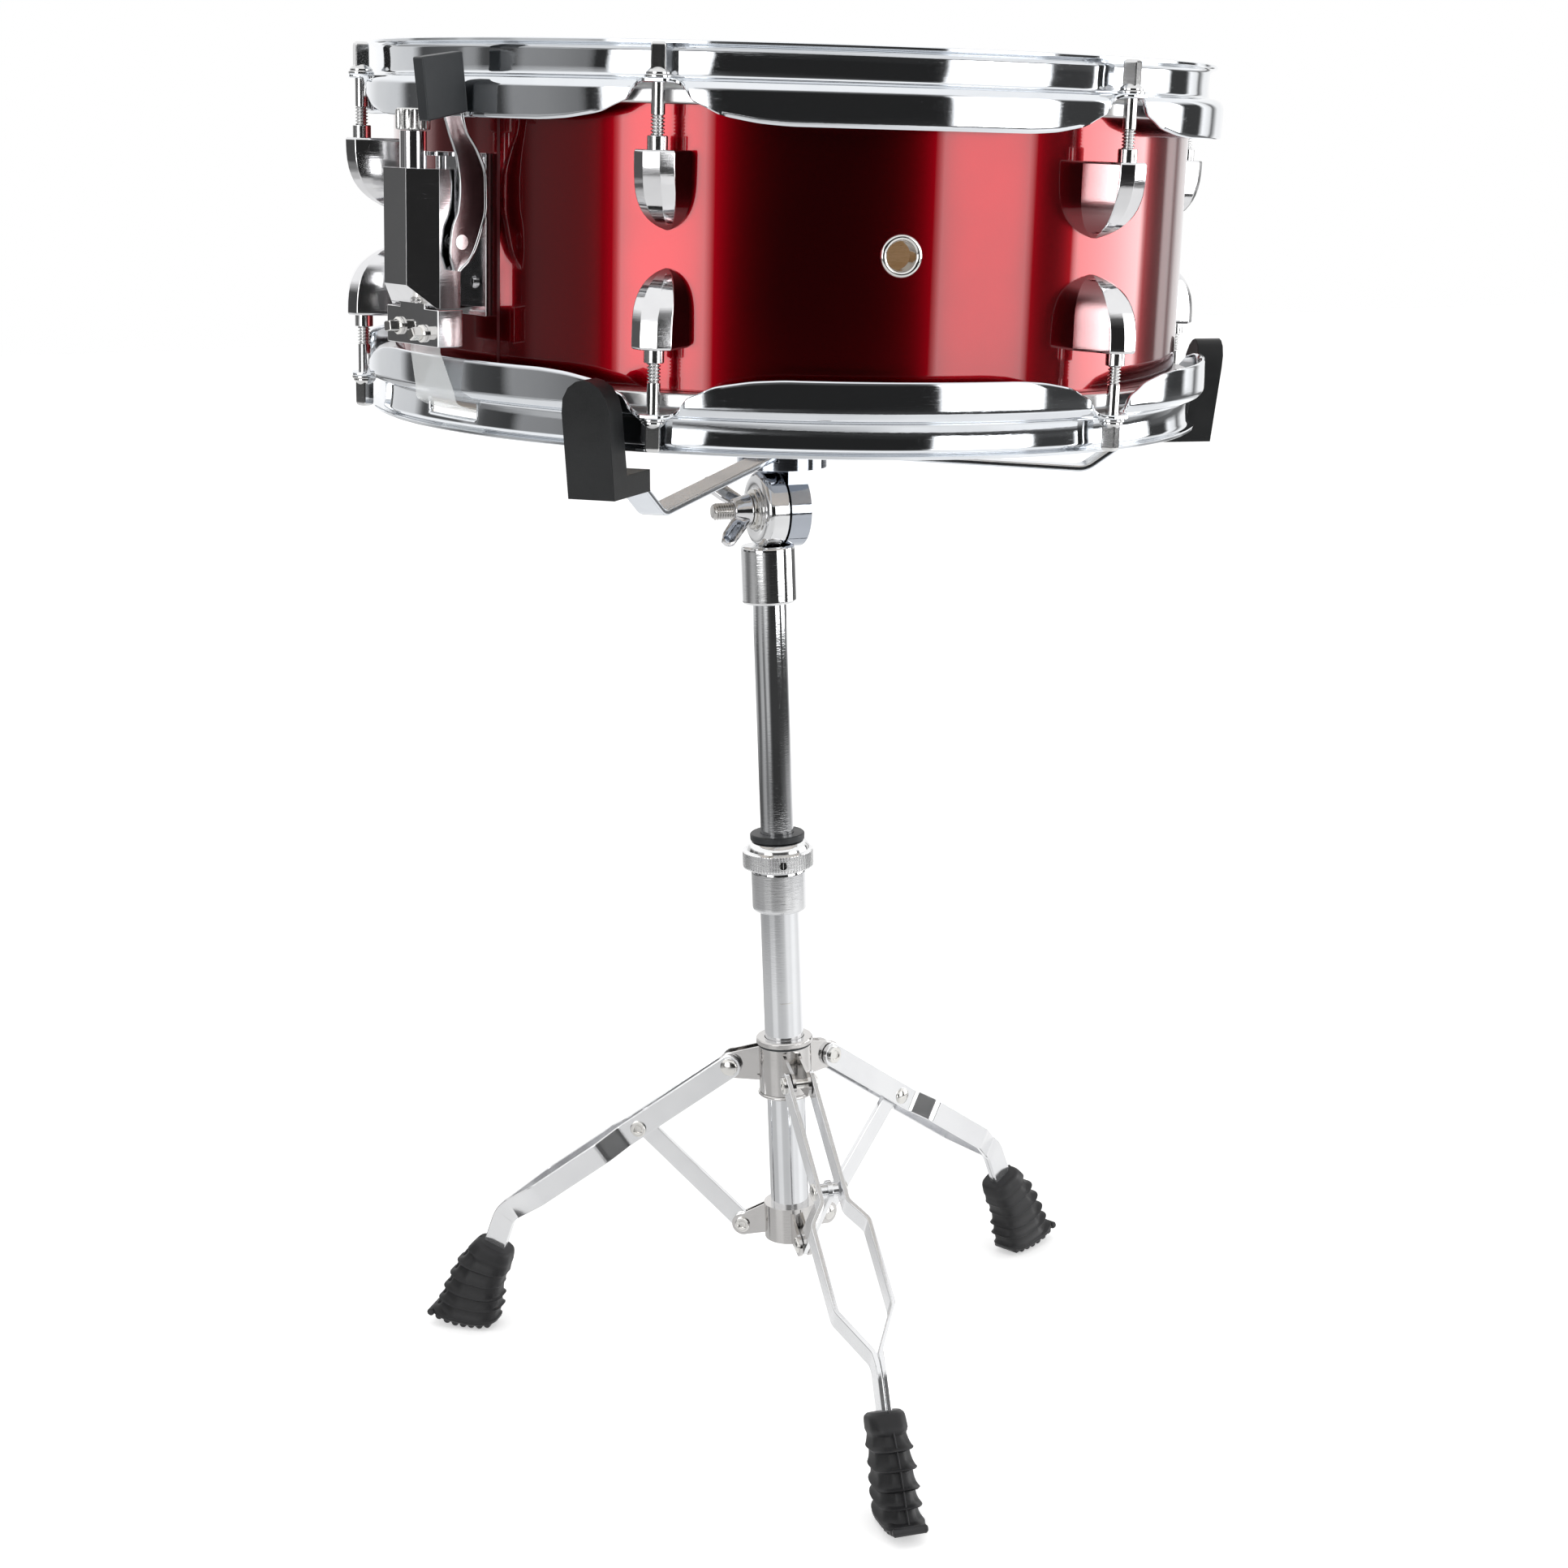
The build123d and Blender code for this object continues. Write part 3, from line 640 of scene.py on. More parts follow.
def hoop_mesh(sgn, gates=()):
    offs = set()
    for k in range(0, 24):
        offs.add(round(0.7 * k, 3))
    d_ = 16.1
    while d_ < 60:
        offs.add(round(d_, 3))
        d_ += 1.7
    while d_ < 100.2:
        offs.add(round(d_, 3))
        d_ += 2.8
    K_ = 180 / pi / 192.4
    phis = set()
    for i in range(6):
        for d_ in offs:
            for sg in (1, -1):
                phis.add(round((ROD_A0 + 60 * i + sg * d_ * K_) % 360, 4))
        phis.add(round((ROD_A0 + 60 * i + 30) % 360, 4))
    for g in gates:
        for sg in (1, -1):
            phis.add(round((g + sg * 17.0 * 180 / pi / 186) % 360, 4))
    phis = sorted(phis)
    th = 0.9
    base = arc(188.5, 74.7, 3.4, 90, 180, 8) + [(184.98, 73.0), (184.9, 71.5), (184.88, 69.5), (184.95, 67.8), (185.1, 66.4)] + arc(187.6, 66.3, 2.5, 190, 270, 6)
    gi0 = 9                                   # gate top and bottom along the wall
    gi1 = 13
    rows = []
    NB, NS = 7, 7
    for phi in phis:
        d = abs(((phi - ROD_A0 + 30) % 60) - 30) / K_
        ze = SCAL(d)
        s = smooth((14.0 - d) / 8.0)
        tab = TAB(d)
        bend = arc(188.4, 60.3, 3.5, 90, 0, NB)
        zz = [60.3 + (ze - 60.3) * j / NS for j in range(1, NS + 1)] if ze < 60.3 else [60.3 - 0.02 * j for j in range(1, NS + 1)]
        down = [(191.9 - 0.35 * ((60.3 - z) / 11.7) ** 2, z) for z in zz]
        C1 = np.array(bend + down)
        q = np.linspace(0, 1, len(C1))
        C2 = np.c_[188.4 + (tab - 188.4) * q, 63.8 + 0 * q]
        C = np.vstack([np.array(base), C1 * (1 - s) + C2 * s])
        T = np.gradient(C, axis=0)
        T /= np.linalg.norm(T, axis=1)[:, None]
        N = np.c_[-T[:, 1], T[:, 0]]
        tip = C[-1] + T[-1] * 0.55
        tip0 = C[0] - T[0] * 0.55
        loop = np.vstack([C + N * th, [tip + N[-1] * th * 0.5, tip - N[-1] * th * 0.5], (C - N * th)[::-1], [tip0 - N[0] * th * 0.5, tip0 + N[0] * th * 0.5]])
        rows.append((phi, loop))
    nc = len(C)
    m = len(rows[0][1])
    V, F = [], []
    for phi, loop in rows:
        t = rad(phi)
        for r, z in loop:
            V.append((r * sin(t), -r * cos(t), z * sgn))
    n = len(rows)
    outer = set(range(gi0, gi1))
    inner = set(2 * nc + 1 - k - 1 + 0 for k in range(gi0, gi1))
    inner = set((2 * nc + 2 - 1) - k - 1 for k in range(gi0, gi1))
    cut = []
    for i in range(n):
        j = (i + 1) % n
        pm = (rows[i][0] + ((rows[j][0] - rows[i][0]) % 360) / 2) % 360
        g = min([abs(((pm - a + 180) % 360) - 180) for a in gates] or [180]) * pi / 180 * 186
        for k in range(m):
            l = (k + 1) % m
            if g < 17.0 and (k in outer or k in inner):
                continue
            F.append((i * m + k, j * m + k, j * m + l, i * m + l))
    return V, F


def close_gates(o):
    """joins the inner and outer edges of each opening"""
    bm = bmesh.new()
    bm.from_mesh(o.data)
    es = [e for e in bm.edges if len(e.link_faces) == 1]
    todo = set(es)
    groups = []
    while todo:
        e = todo.pop()
        comp, st = [e], [e]
        while st:
            x = st.pop()
            for v in x.verts:
                for y in v.link_edges:
                    if y in todo:
                        todo.discard(y)
                        comp.append(y)
                        st.append(y)
        groups.append(comp)
    cen = lambda g: sum((e.verts[0].co for e in g), Vector()) / len(g)
    while len(groups) > 1:
        a = groups.pop()
        b_ = min(groups, key=lambda g: (cen(g) - cen(a)).length)
        groups.remove(b_)
        bmesh.ops.bridge_loops(bm, edges=a + b_)
    bmesh.ops.recalc_face_normals(bm, faces=bm.faces)
    bm.to_mesh(o.data)
    bm.free()


piece("batter_hoop_steel", *hoop_mesh(1), HOOPM, "drum", ["batter_hoop"], DM, 40)
o = piece("snare_hoop_steel", *hoop_mesh(-1, (STR_AZ, BUTT_AZ)), HOOPM, "drum", ["snare_hoop"], DM, 40)
close_gates(o)

# ------------------------------------------------------------------ key rods, washers, inserts, lugs: twelve of each
def at_rod(i, r=193.0):
    return polm(ROD_A0 + 60 * i) @ mmt(r, 0, 0)


def sq_ring(h, z, c):
    p = [(h, -h + c), (h, h - c), (h - c, h), (-h + c, h), (-h, h - c), (-h, -h + c), (-h + c, -h), (h - c, -h)]
    return [(x, y, z) for x, y in p]


head_ = loft([sq_ring(2.95, 68.0, 0.45), sq_ring(2.9, 76.4, 0.45), sq_ring(2.75, 77.4, 0.5), sq_ring(2.2, 78.1, 0.6)])
shaft_ = turn([(2.7, 51.0), (2.7, 63.5), (3.0, 63.5), (3.0, 64.7)], 24)
rod_up = join([xf(head_, rotm("Z", 14)), shaft_, thread(2.75, 1.95, 1.35, 38.5, 51.2, 22, 8)])
wash_up = join([turn([(2.9, 64.6), (5.3, 64.6), (5.6, 64.9), (5.6, 65.5), (5.2, 65.9), (4.7, 66.0)], 32), turn([(4.6, 65.9), (4.9, 66.1), (4.9, 66.7), (4.3, 67.3), (3.4, 68.2), (2.6, 68.9), (1.5, 69.2)], 32)])
ins_up = turn([(2.75, 43.2), (3.7, 43.2), (4.0, 42.9), (4.0, 37.6)], 32, False, False)
allrods, allwash, allins = [], [], []
for i in range(6):
    for fl_ in (0, 1):
        f = flipz if fl_ else (lambda q: q)
        spin = mmt(0, 0, 0) @ rotm("Z", (17 * i + 31 * fl_) % 90 * (1 if i not in (0, 1) else 0))
        allrods.append(xf(f(rod_up), at_rod(i) @ spin))
        allwash.append(xf(f(wash_up), at_rod(i)))
        allins.append(xf(f(ins_up), at_rod(i)))
piece("key_rods", *join(allrods), RODM, "drum", ["tension_rods"], DM, 38)
piece("rod_collars", *join(allwash), RODM, "drum", ["rod_washers"], DM, 38)
piece("lug_bushes", *join(allins), RODM, "drum", ["lug_inserts"], DM, 38)

R_OF = pchip([(7.3, 179.6), (8.4, 182.6), (10.0, 186.4), (13.0, 191.2), (16.5, 194.9), (21.0, 197.7), (27.0, 199.6), (33.0, 200.2), (38.0, 200.3)])
W_OF = pchip([(7.3, 0.5), (8.2, 2.6), (10.0, 4.9), (12.5, 6.8), (15.5, 8.1), (19.0, 9.0), (24.0, 9.5), (38.0, 9.5)])


def lug_mesh():
    rings = []
    zs = [7.3, 7.7, 8.4, 9.3, 10.4, 11.8, 13.4, 15.2, 17.2, 19.4, 22.0, 25.0, 28.5, 32.0, 35.0, 36.9, 37.3, 37.7, 37.95]
    for z in zs:
        R, Wd = R_OF(min(z, 37.9)), W_OF(min(z, 37.9))
        sh = 0.0 if z <= 37.0 else (0.12 if z < 37.5 else (0.32 if z < 37.8 else 0.7))
        R -= sh
        Wd -= sh
        dp = R - 178.0
        fw_ = max(Wd * 0.37, 0.12)
        pl = [(177.4, -Wd), (178.0 + dp * 0.84, -Wd * 0.87), (178.0 + dp, -fw_), (178.0 + dp, fw_), (178.0 + dp * 0.84, Wd * 0.87), (177.4, Wd)]
        rr = min(0.5, Wd * 0.12)
        ring_ = fillet(pl, [0, rr * 1.6, rr, rr, rr * 1.6, 0], 3)
        rings.append([(x, y, z) for x, y in ring_])
    return loft(rings)


lug_up = lug_mesh()
piece("lug_castings", *join([xf((flipz(lug_up) if fl_ else lug_up), polm(ROD_A0 + 60 * i)) for i in range(6) for fl_ in (0, 1)]), CAST, "drum", ["lugs"], DM, 24)

# ------------------------------------------------------------------ strainer
SM = DM @ polm(STR_AZ)
cad("strainer_body", CAST, "drum", 0.9, 3)
cad("strainer_base", CAST, "drum", 0.5, 2)
cad("butt_plate", CAST, "drum", 0.6, 3)
cad("shell_screws", NICKEL, "drum", 0.2)


def rim_plate(inner_, outer_, t0, t1, rim, body, mat, name, reps, M):
    """plate between two edge curves with thick rolled rims"""
    n = 44
    def samp(pts):
        p = np.array(pts, float)
        u = np.linspace(0, 1, len(p))
        fx, fz = pchip(list(zip(u, p[:, 0]))), pchip(list(zip(u, p[:, 1])))
        return [(fx(q), fz(q)) for q in np.linspace(0, 1, n)]
    A, B = samp(inner_), samp(outer_)
    tm, hw = (t0 + t1) / 2, (t1 - t0) / 2
    rings = []
    for (ax, az_), (bx, bz) in zip(A, B):
        w = math.hypot(bx - ax, bz - az_)
        q = min(1.0, w / 5.0) / w
        prof = [(0.0, hw * 0.45), (0.25 * q, hw * 0.85), (0.6 * q, hw), (1.0 * q, hw * 0.97), (1.35 * q, hw * 0.72), (1.7 * q, hw * 0.58), (0.5, hw * 0.56), (1 - 0.7 * q, hw * 0.56), (1 - 0.3 * q, hw * 0.5), (1 - 0.08 * q, hw * 0.34), (1.0, hw * 0.15)]
        tm = (t0 + t1) / 2 + 0.03 * (ax - 190)
        tw = 0.03 * (bx - ax)
        ring_ = [(ax + (bx - ax) * u, tm + tw * u + h, az_ + (bz - az_) * u) for u, h in prof] + [(ax + (bx - ax) * u, tm + tw * u - h, az_ + (bz - az_) * u) for u, h in prof[::-1]]
        rings.append(ring_)
    return piece(name, *loft(rings), mat, body, reps, M, 34)


LIN = [(195.2, -12.6), (189.0, -7.2), (184.3, 3.0), (181.6, 13.5), (181.9, 25.0), (186.0, 35.2), (191.8, 43.8), (194.2, 54.0)]
LOUT = [(198.6, -12.2), (200.4, -5.0), (199.4, 4.0), (196.4, 11.5), (195.4, 20.5), (197.2, 32.5), (200.8, 42.0), (204.6, 53.4)]
rim_plate(LIN, LOUT, 18.6, 20.7, 1.2, "throw_lever", LEVER_DARK_REFLECTION, "throw_lever_blade", ["throw_lever"], SM)
pv = xf(turn([(0.2, 20.9), (2.0, 20.9), (3.0, 20.6), (3.7, 20.2), (3.9, 19.4)], 28), mmt(0, 0, 0))
capo = cad("lever_cap", BLACK, "throw_lever", 1.1, 3)

kn = []
for k in range(72):
    pass
nk = 72
prof = [(6.0, 42.3, 0), (6.9, 42.6, 0), (7.0, 43.0, 1), (7.0, 44.5, 1), (7.0, 46.0, 1), (7.0, 48.0, 1), (7.0, 49.8, 1), (6.8, 50.3, 0), (6.2, 50.8, 0), (4.4, 50.9, 0), (4.0, 50.5, 0)]
rings = []
for r, z, k_ in prof:
    rings.append([((r - (0.38 * k_ if i % 3 == 0 else 0.0)) * cos(2 * pi * i / nk), (r - (0.38 * k_ if i % 3 == 0 else 0.0)) * sin(2 * pi * i / nk), z) for i in range(nk)])
knob_ = join([loft(rings), thread(2.9, 2.4, 1.0, 36.0, 42.5, 20, 6)])
piece("tension_knob", *xf(knob_, mmt(204, 0, 0)), KNOBM, "strainer_knob", ["strainer_knob"], SM, 26)

# clamp with two key screws
cad("snare_clamp", CAST, "snare_clamp", 0.5, 3)
scr_ = join([turn([(3.4, 0), (3.6, 0.3), (3.6, 1.2), (3.1, 1.7), (2.5, 2.0)], 28), loft([sq_ring(2.1, 1.8, 0.4), sq_ring(2.1, 5.8, 0.4), sq_ring(1.8, 6.4, 0.4)])])
piece("clamp_screws", *join([xf(scr_, mmt(205.0, y, z) @ XAX @ rotm("Z", a)) for y, z, a in ((-9, -36, 10), (8, -38, 32))]), NICKEL, "snare_clamp", (), SM, 30, slot="cast_chrome")
piece("butt_screws", *join([xf(scr_, mmt(196.4, y, -35) @ XAX @ rotm("Z", a)) for y, a in ((-9, 5), (9, 40))]), NICKEL, "drum", (), DM @ polm(BUTT_AZ), 30, slot="cast_chrome")


def strap_mesh(path, w0, w1, th=0.55):
    c = fillet(path, [0] + [3.0] * (len(path) - 2) + [0], 5, closed=False)
    p = np.array(c, float)
    L = np.r_[0, np.cumsum(np.hypot(*np.diff(p, axis=0).T))]
    rings = []
    for i in range(len(p)):
        t = p[min(i + 1, len(p) - 1)] - p[max(i - 1, 0)]
        t /= np.hypot(*t)
        nx, nz = -t[1], t[0]
        w = w0 + (w1 - w0) * smooth(L[i] / L[-1] * 1.5)
        x, z = p[i]
        h = th / 2
        rings.append([(x + nx * h, -w + h, z + nz * h), (x + nx * h, w - h, z + nz * h), (x, w, z), (x - nx * h, w - h, z - nz * h), (x - nx * h, -w + h, z - nz * h), (x, -w, z)])
    return loft(rings)


SP = [(-46.0, 198.6), (-61.5, 194.2), (-66.6, 193.4), (-69.2, 187.6), (-71.7, 178.0), (-71.8, 160.0)]
path = [(198.6, -32.0)] + [(r, z) for z, r in SP]
strap_blend = ("drum", "snare_clamp", tuple(SM @ (Vector((194.2, 0, -60)) * MM)), tuple(SM @ (Vector((198.6, 0, -34)) * MM)))
piece("snare_strap_front", *strap_mesh(path, 9.5, 15.5), STRAP, "drum", ["snare_strap_throw"], SM, 60, blend=strap_blend)
path2 = [(193.6, -38.5), (193.8, -46.0), (194.2, -61.5), (193.4, -66.6), (187.6, -69.2), (178.0, -71.7), (160.0, -71.8)]
piece("snare_strap_back", *strap_mesh(path2, 12.0, 15.5), STRAP, "drum", ["snare_strap_butt"], DM @ polm(BUTT_AZ), 60)

# coiled snare wires and their end plates
coil = thread(0.85, 0.42, 1.9, -148.5, 148.5, 7, 4)
wires = []
for i in range(20):
    y = -20 + 40 * i / 19
    wires.append(xf(coil, mmt(0, y, -72.85) @ XAX @ rotm("Z", 37 * i)))
piece("snare_wire_coils", *join(wires), WIRE, "drum", ["snare_wires"], SM, 60)
pl_ = []
for sg in (1, -1):
    o2 = fillet([(146, -21.2), (164, -21.2), (164, 21.2), (146, 21.2)], 2.0, 4)
    rr_ = [[(x * sg, y, z) for x, y in (o2 if sg > 0 else o2[::-1])] for z in (-73.25, -72.9, -72.2, -71.85)]
    pl_.append(loft(rr_))
piece("snare_wire_plates", *join(pl_), WIRE, "drum", (), SM, 30, slot="snare_steel")

# ------------------------------------------------------------------ basket
cad("basket_hub", HUB_SHADE_SHEET, "basket", 1.0, 3)


def arm_mesh():
    c = [(8.0, 26.0), (25.0, 26.0), (145.0, 16.7), (170.0, 33.6), (198.0, 33.6)]
    c = fillet(c, [0, 14.0, 12.0, 6.0, 0], 10, closed=False)
    p = np.array(c, float)
    rings = []
    for i in range(len(p)):
        t = p[min(i + 1, len(p) - 1)] - p[max(i - 1, 0)]
        t /= np.hypot(*t)
        nx, nz = -t[1], t[0]
        x, z = p[i]
        sec = fillet([(-6.0, -1.4), (6.0, -1.4), (6.0, 1.4), (-6.0, 1.4)], 0.75, 3)
        rings.append([(x + nx * b_, a_, z + nz * b_) for a_, b_ in sec])
    return loft(rings)


ARMV = arm_mesh()
for n, az in CLAW_AZ.items():
    piece("basket_arm_" + n, *ARMV, ARM_SHADE_FLAT, "arm_" + n, ["arm_" + n], BCM @ polm(az), 34)
    cad("grip_" + n, RUBG, "arm_" + n, 1.6, 4)

# ------------------------------------------------------------------ tilter
AXM = Matrix.Rotation(rad(TILT_AZ - 90), 4, "Z")
UA = UM @ AXM


def disc_x(prof, seg=72):
    """turned solid along local X; prof is (x, r)"""
    return xf(turn([(r, x) for x, r in prof], seg), XAX)


sock = disc_x([(-5.6, 9.0), (-5.6, 16.6)] + [(x, r) for r, x in arc(16.6, -4.2, 1.4, -90, 0, 4)] + [(x, r) for r, x in arc(14.6, 2.2, 3.4, 0, 80, 8)] + [(5.7, 13.2), (5.3, 12.0), (5.2, 10.6), (5.6, 10.0), (5.6, 4.2)])
barrel_o = [(8.2, 387.4), (11.6, 387.4)] + arc(11.5, 388.7, 1.3, -90, 0, 5) + [(12.8, 400.0), (12.8, 412.6)] + arc(11.2, 413.2, 1.6, 0, 90, 6) + [(8.0, 414.8), (2.0, 414.8)]
sock2 = (turn(barrel_o, 64, False, True))
piece("tilter_cup", *xf(sock, Matrix.Identity(4)), SHEET, "mast", ["tilter_socket"], UA, 36)
piece("tilter_barrel", *sock2, SHEET, "mast", (), I4, 36, slot="chrome_sheet")
piece("tilter_bolt_thread", *join([xf(thread(3.95, 3.3, 1.25, 6.0, 26.4, 28, 8), XAX), disc_x([(26.3, 3.3), (26.9, 3.0), (27.0, 2.0), (27.0, 0.2)], 28), disc_x([(-20.6, 0.3), (-20.5, 5.6), (-19.6, 7.6), (-18.6, 8.0), (-16.4, 8.0)], 40), disc_x([(-16.6, 4.0), (6.2, 4.0)], 28)]), BOLTM, "mast", ["tilter_bolt"], UA, 34)
piece("tilter_washer_stack", *join([disc_x([(5.6, 9.0), (5.7, 9.5), (7.0, 9.5), (7.2, 9.1), (7.2, 7.6), (7.3, 7.9), (8.4, 7.9), (8.6, 7.5), (8.6, 4.2)], 48)]), NICKEL, "mast", ["tilter_washers"], UA, 30)


def wing_mesh():
    """one wing: thick rounded rim, thinner web; local X along the axis, Y outward"""
    outl = [(9.6, 3.0), (16.2, 3.6), (20.8, 7.6), (25.6, 13.4), (27.2, 17.4), (25.4, 20.6), (21.8, 20.2), (16.6, 14.8), (12.0, 9.6), (9.8, 7.0)]
    o_ = fillet(outl, [0.5, 2.5, 3, 4, 2.4, 2.4, 3, 4, 3, 1.5], 4)
    p = np.array(o_)
    cen = np.array([17.5, 10.5])
    rings = []
    for sc_, h in ((0.18, 0.75), (0.62, 0.75), (0.80, 1.15), (0.93, 1.45), (0.985, 1.1), (1.0, 0.55), (1.0, -0.55), (0.985, -1.1), (0.93, -1.45), (0.80, -1.15), (0.62, -0.75), (0.18, -0.75)):
        q = cen + (p - cen) * sc_
        rings.append([(x, y, h) for x, y in q])
    return loft(rings)


wn_ = [disc_x([(8.9, 7.4), (9.2, 7.6), (9.8, 7.6), (10.4, 7.2), (12.5, 6.7), (15.8, 5.9), (16.8, 5.5), (17.1, 5.0), (17.1, 4.1)], 40)]
for a in (137, 317):
    wn_.append(xf(wing_mesh(), rotm("X", a)))
piece("wing_nut_cast", *join(wn_), CAST, "wing_nut", ["wing_nut"], UA, 40, slot="nickel")

# ------------------------------------------------------------------ tubes, clamp, ring nut
up_o = [(6.6, 130.0), (7.5, 130.0), (7.95, 130.5), (7.95, 230.0), (7.95, 330.0), (7.95, 410.9)]
piece("upper_tube_skin", *turn(up_o, 96, False, False), CHROME, "mast", ["upper_tube"], I4, 40)
lo_o = [(2.0, 64.4), (9.0, 64.4), (9.52, 65.0), (9.52, 160.0), (9.52, 255.5)]
piece("lower_tube_skin", *turn(lo_o, 96, True, False), CHROME, "base", ["lower_tube"], I4, 40)
piece("lower_tube_scribe", *revolve([(9.50, 190.0), (9.56, 190.0), (9.56, 190.5), (9.50, 190.5)], 48, -100, -60), NICKEL, "base", (), I4, 40, slot="chrome_tube")
sl = [(9.5, 236.1), (11.2, 236.1)] + arc(11.35, 237.95, 1.85, -85, 0, 7) + [(13.2, 239.0), (13.2, 246.0), (13.2, 255.2), (13.2, 256.2), (12.9, 256.9), (12.3, 257.3), (11.6, 257.4), (11.4, 258.0), (11.4, 265.9), (9.6, 266.3)]
piece("clamp_sleeve_body", *turn(sl, 96, False, False), SHEET, "base", ["clamp_sleeve"], I4, 36)
# black split washer
wb = fillet([(8.03, 268.0), (11.25, 268.0), (11.3, 271.55), (13.15, 271.55), (13.25, 274.2), (12.7, 274.75), (8.03, 274.75)], [0, 0, 0.2, 0.3, 0.5, 0.3, 0.3], 3)
piece("clamp_washer", *revolve(wb, 96, 62, 62 + 354), BLACK, "base", ["clamp_bush"], I4, 34)
nk = 288
rings = []
for r, z, k_ in [(11.6, 257.7, 0), (15.2, 257.7, 0), (16.6, 258.0, 0), (17.15, 258.4, 0), (17.2, 258.7, 1), (17.2, 260.5, 1), (17.2, 262.2, 1), (17.2, 264.2, 1), (17.2, 265.8, 1), (17.15, 266.2, 0), (16.7, 266.7, 0), (15.6, 266.9, 0), (15.3, 267.1, 0),
                 (15.1, 268.0, 0), (14.7, 269.1, 0), (13.8, 270.2, 0), (12.7, 271.0, 0), (11.6, 271.3, 0)]:
    rings.append([((r - (0.6 * k_ if i % 4 in (0, 1) else 0.0)) * cos(2 * pi * i / nk), (r - (0.6 * k_ if i % 4 in (0, 1) else 0.0)) * sin(2 * pi * i / nk), z) for i in range(nk)])
rn = loft(rings, True, False)
piece("ring_nut_knurled", *rn, KNURL, "clamp_ring", ["clamp_ring"], I4, 24)
# a shallow near-black disc on the knurl paints the shade inside the key hole
piece("ring_nut_hole", *xf(turn([(1.8, 0.0), (1.8, 0.3), (1.5, 0.36), (1.4, 0.1)], 20), polm(8) @ mmt(16.9, 0, 261.9) @ XAX), RING_HOLE_SHADE, "clamp_ring", (), I4, 30, slot="ring_nut")

# ------------------------------------------------------------------ collars
cad("lower_collar", COLL, "base", 0.5, 3)
cad("upper_collar", COLL, "leg_collar", 0.45, 3)
piece("collar_trims", *join([revolve(fillet([(9.7, 168.0), (13.7, 168.0), (14.0, 168.4), (14.0, 170.2), (13.5, 171.0), (9.7, 171.0)], 0.3, 3), 96),
                             revolve(fillet([(9.7, 143.1), (13.3, 143.1), (14.1, 142.2), (13.3, 141.3), (9.7, 141.3)], [0, 0.4, 0.8, 0.4, 0], 4), 96)]), COLL, "leg_collar", ["collar_trim_rings"], I4, 30)
# a thin black band set in the gap between collar and trim paints the shade there
piece("collar_gap_shade", *revolve([(12.9, 166.8), (13.06, 166.8), (13.06, 167.9), (12.9, 167.9)], 96), BLACK, "leg_collar", (), I4, 30, slot="black_plastic")
piece("lower_collar_seam", *revolve([(12.95, 66.2), (13.03, 66.2), (13.03, 83.2), (12.95, 83.2)], 6, -68, -66.4), BLACK, "base", (), I4, 30, slot="chrome_sheet")
cad("pivot_washers", BLACK, "leg_collar", 0)


def dome(r, h, seg=32):
    return turn([(r, 0.0), (r, h * 0.18)] + [(r * cos(rad(a)), h * (0.18 + 0.82 * sin(rad(a)))) for a in (18, 35, 52, 68, 80)] + [(0.1, h)], seg)


def hollow(r, h, seg=32):
    return turn([(r, 0.0), (r, h * 0.7), (r * 0.9, h), (r * 0.62, h), (r * 0.52, h * 0.75), (r * 0.48, h * 0.15), (0.1, h * 0.1)], seg)


YP = Matrix.Rotation(rad(-90), 4, "X")                 # local Z to local +Y
YM = Matrix.Rotation(rad(90), 4, "X")
LA_, LC_, SB_ = (27.0, 155.0), (76.0, 119.0), (24.4, 70.0)
rv, r2 = [], []
for n, az in LEG_AZ.items():
    P_ = polm(az)
    rv += [xf(dome(4.4, 1.9), P_ @ mmt(LA_[0], 7.35, LA_[1]) @ YP), xf(hollow(4.2, 1.3), P_ @ mmt(LA_[0], -7.35, LA_[1]) @ YM), xf(turn([(2.4, -8), (2.4, 8)], 24), P_ @ mmt(LA_[0], 0, LA_[1]) @ YP)]
    r2 += [xf(hollow(3.7, 1.3), P_ @ mmt(SB_[0], 3.1, SB_[1]) @ YP), xf(dome(3.7, 1.5), P_ @ mmt(SB_[0], -3.1, SB_[1]) @ YM), xf(turn([(2.15, -3.2), (2.15, 3.2)], 24), P_ @ mmt(SB_[0], 0, SB_[1]) @ YP)]
    piece("strut_rivet_head_" + n, *join([xf(hollow(4.0, 1.3), P_ @ mmt(LC_[0], 7.25, LC_[1]) @ YP), xf(dome(4.2, 1.7), P_ @ mmt(LC_[0], -7.25, LC_[1]) @ YM),
                                          xf(turn([(1.95, 5.0), (1.95, 7.4)], 24), P_ @ mmt(LC_[0], 0, LC_[1]) @ YP), xf(turn([(1.95, 5.0), (1.95, 7.4)], 24), P_ @ mmt(LC_[0], 0, LC_[1]) @ YM)]), NICKEL, "leg_" + n, ["strut_rivet_" + n], I4, 34)
piece("leg_rivets", *join(rv), NICKEL, "leg_collar", ["collar_rivets"], I4, 34)
piece("lower_rivets", *join(r2), NICKEL, "base", ["lower_collar_rivets"], I4, 34)
cs = join([turn([(2.0, 10.2), (2.0, 14.0)], 24), turn([(3.4, 13.5), (4.0, 13.9), (4.0, 15.4), (3.5, 16.3), (2.2, 16.9), (0.3, 17.1)], 32)])
piece("collar_screw_head", *xf(cs, polm(196) @ mmt(0, 0, 155) @ XAX), NICKEL, "collar_screw", ["collar_screw"], I4, 34)

# ------------------------------------------------------------------ legs: two flat bars each, bowed apart below the strut
FOLDS = [(0, 1.25), (64.6, 1.25), (67.6, 1.5), (80.9, 13.5), (107.3, 13.5), (113.9, 6.1), (400, 6.1)]


def YOFF(z):
    """bow of a bar: flats between folds of small radius"""
    fx, fy = zip(*FOLDS)
    return float(np.mean(np.interp(np.linspace(z - 0.9, z + 0.9, 9), fx, fy)))


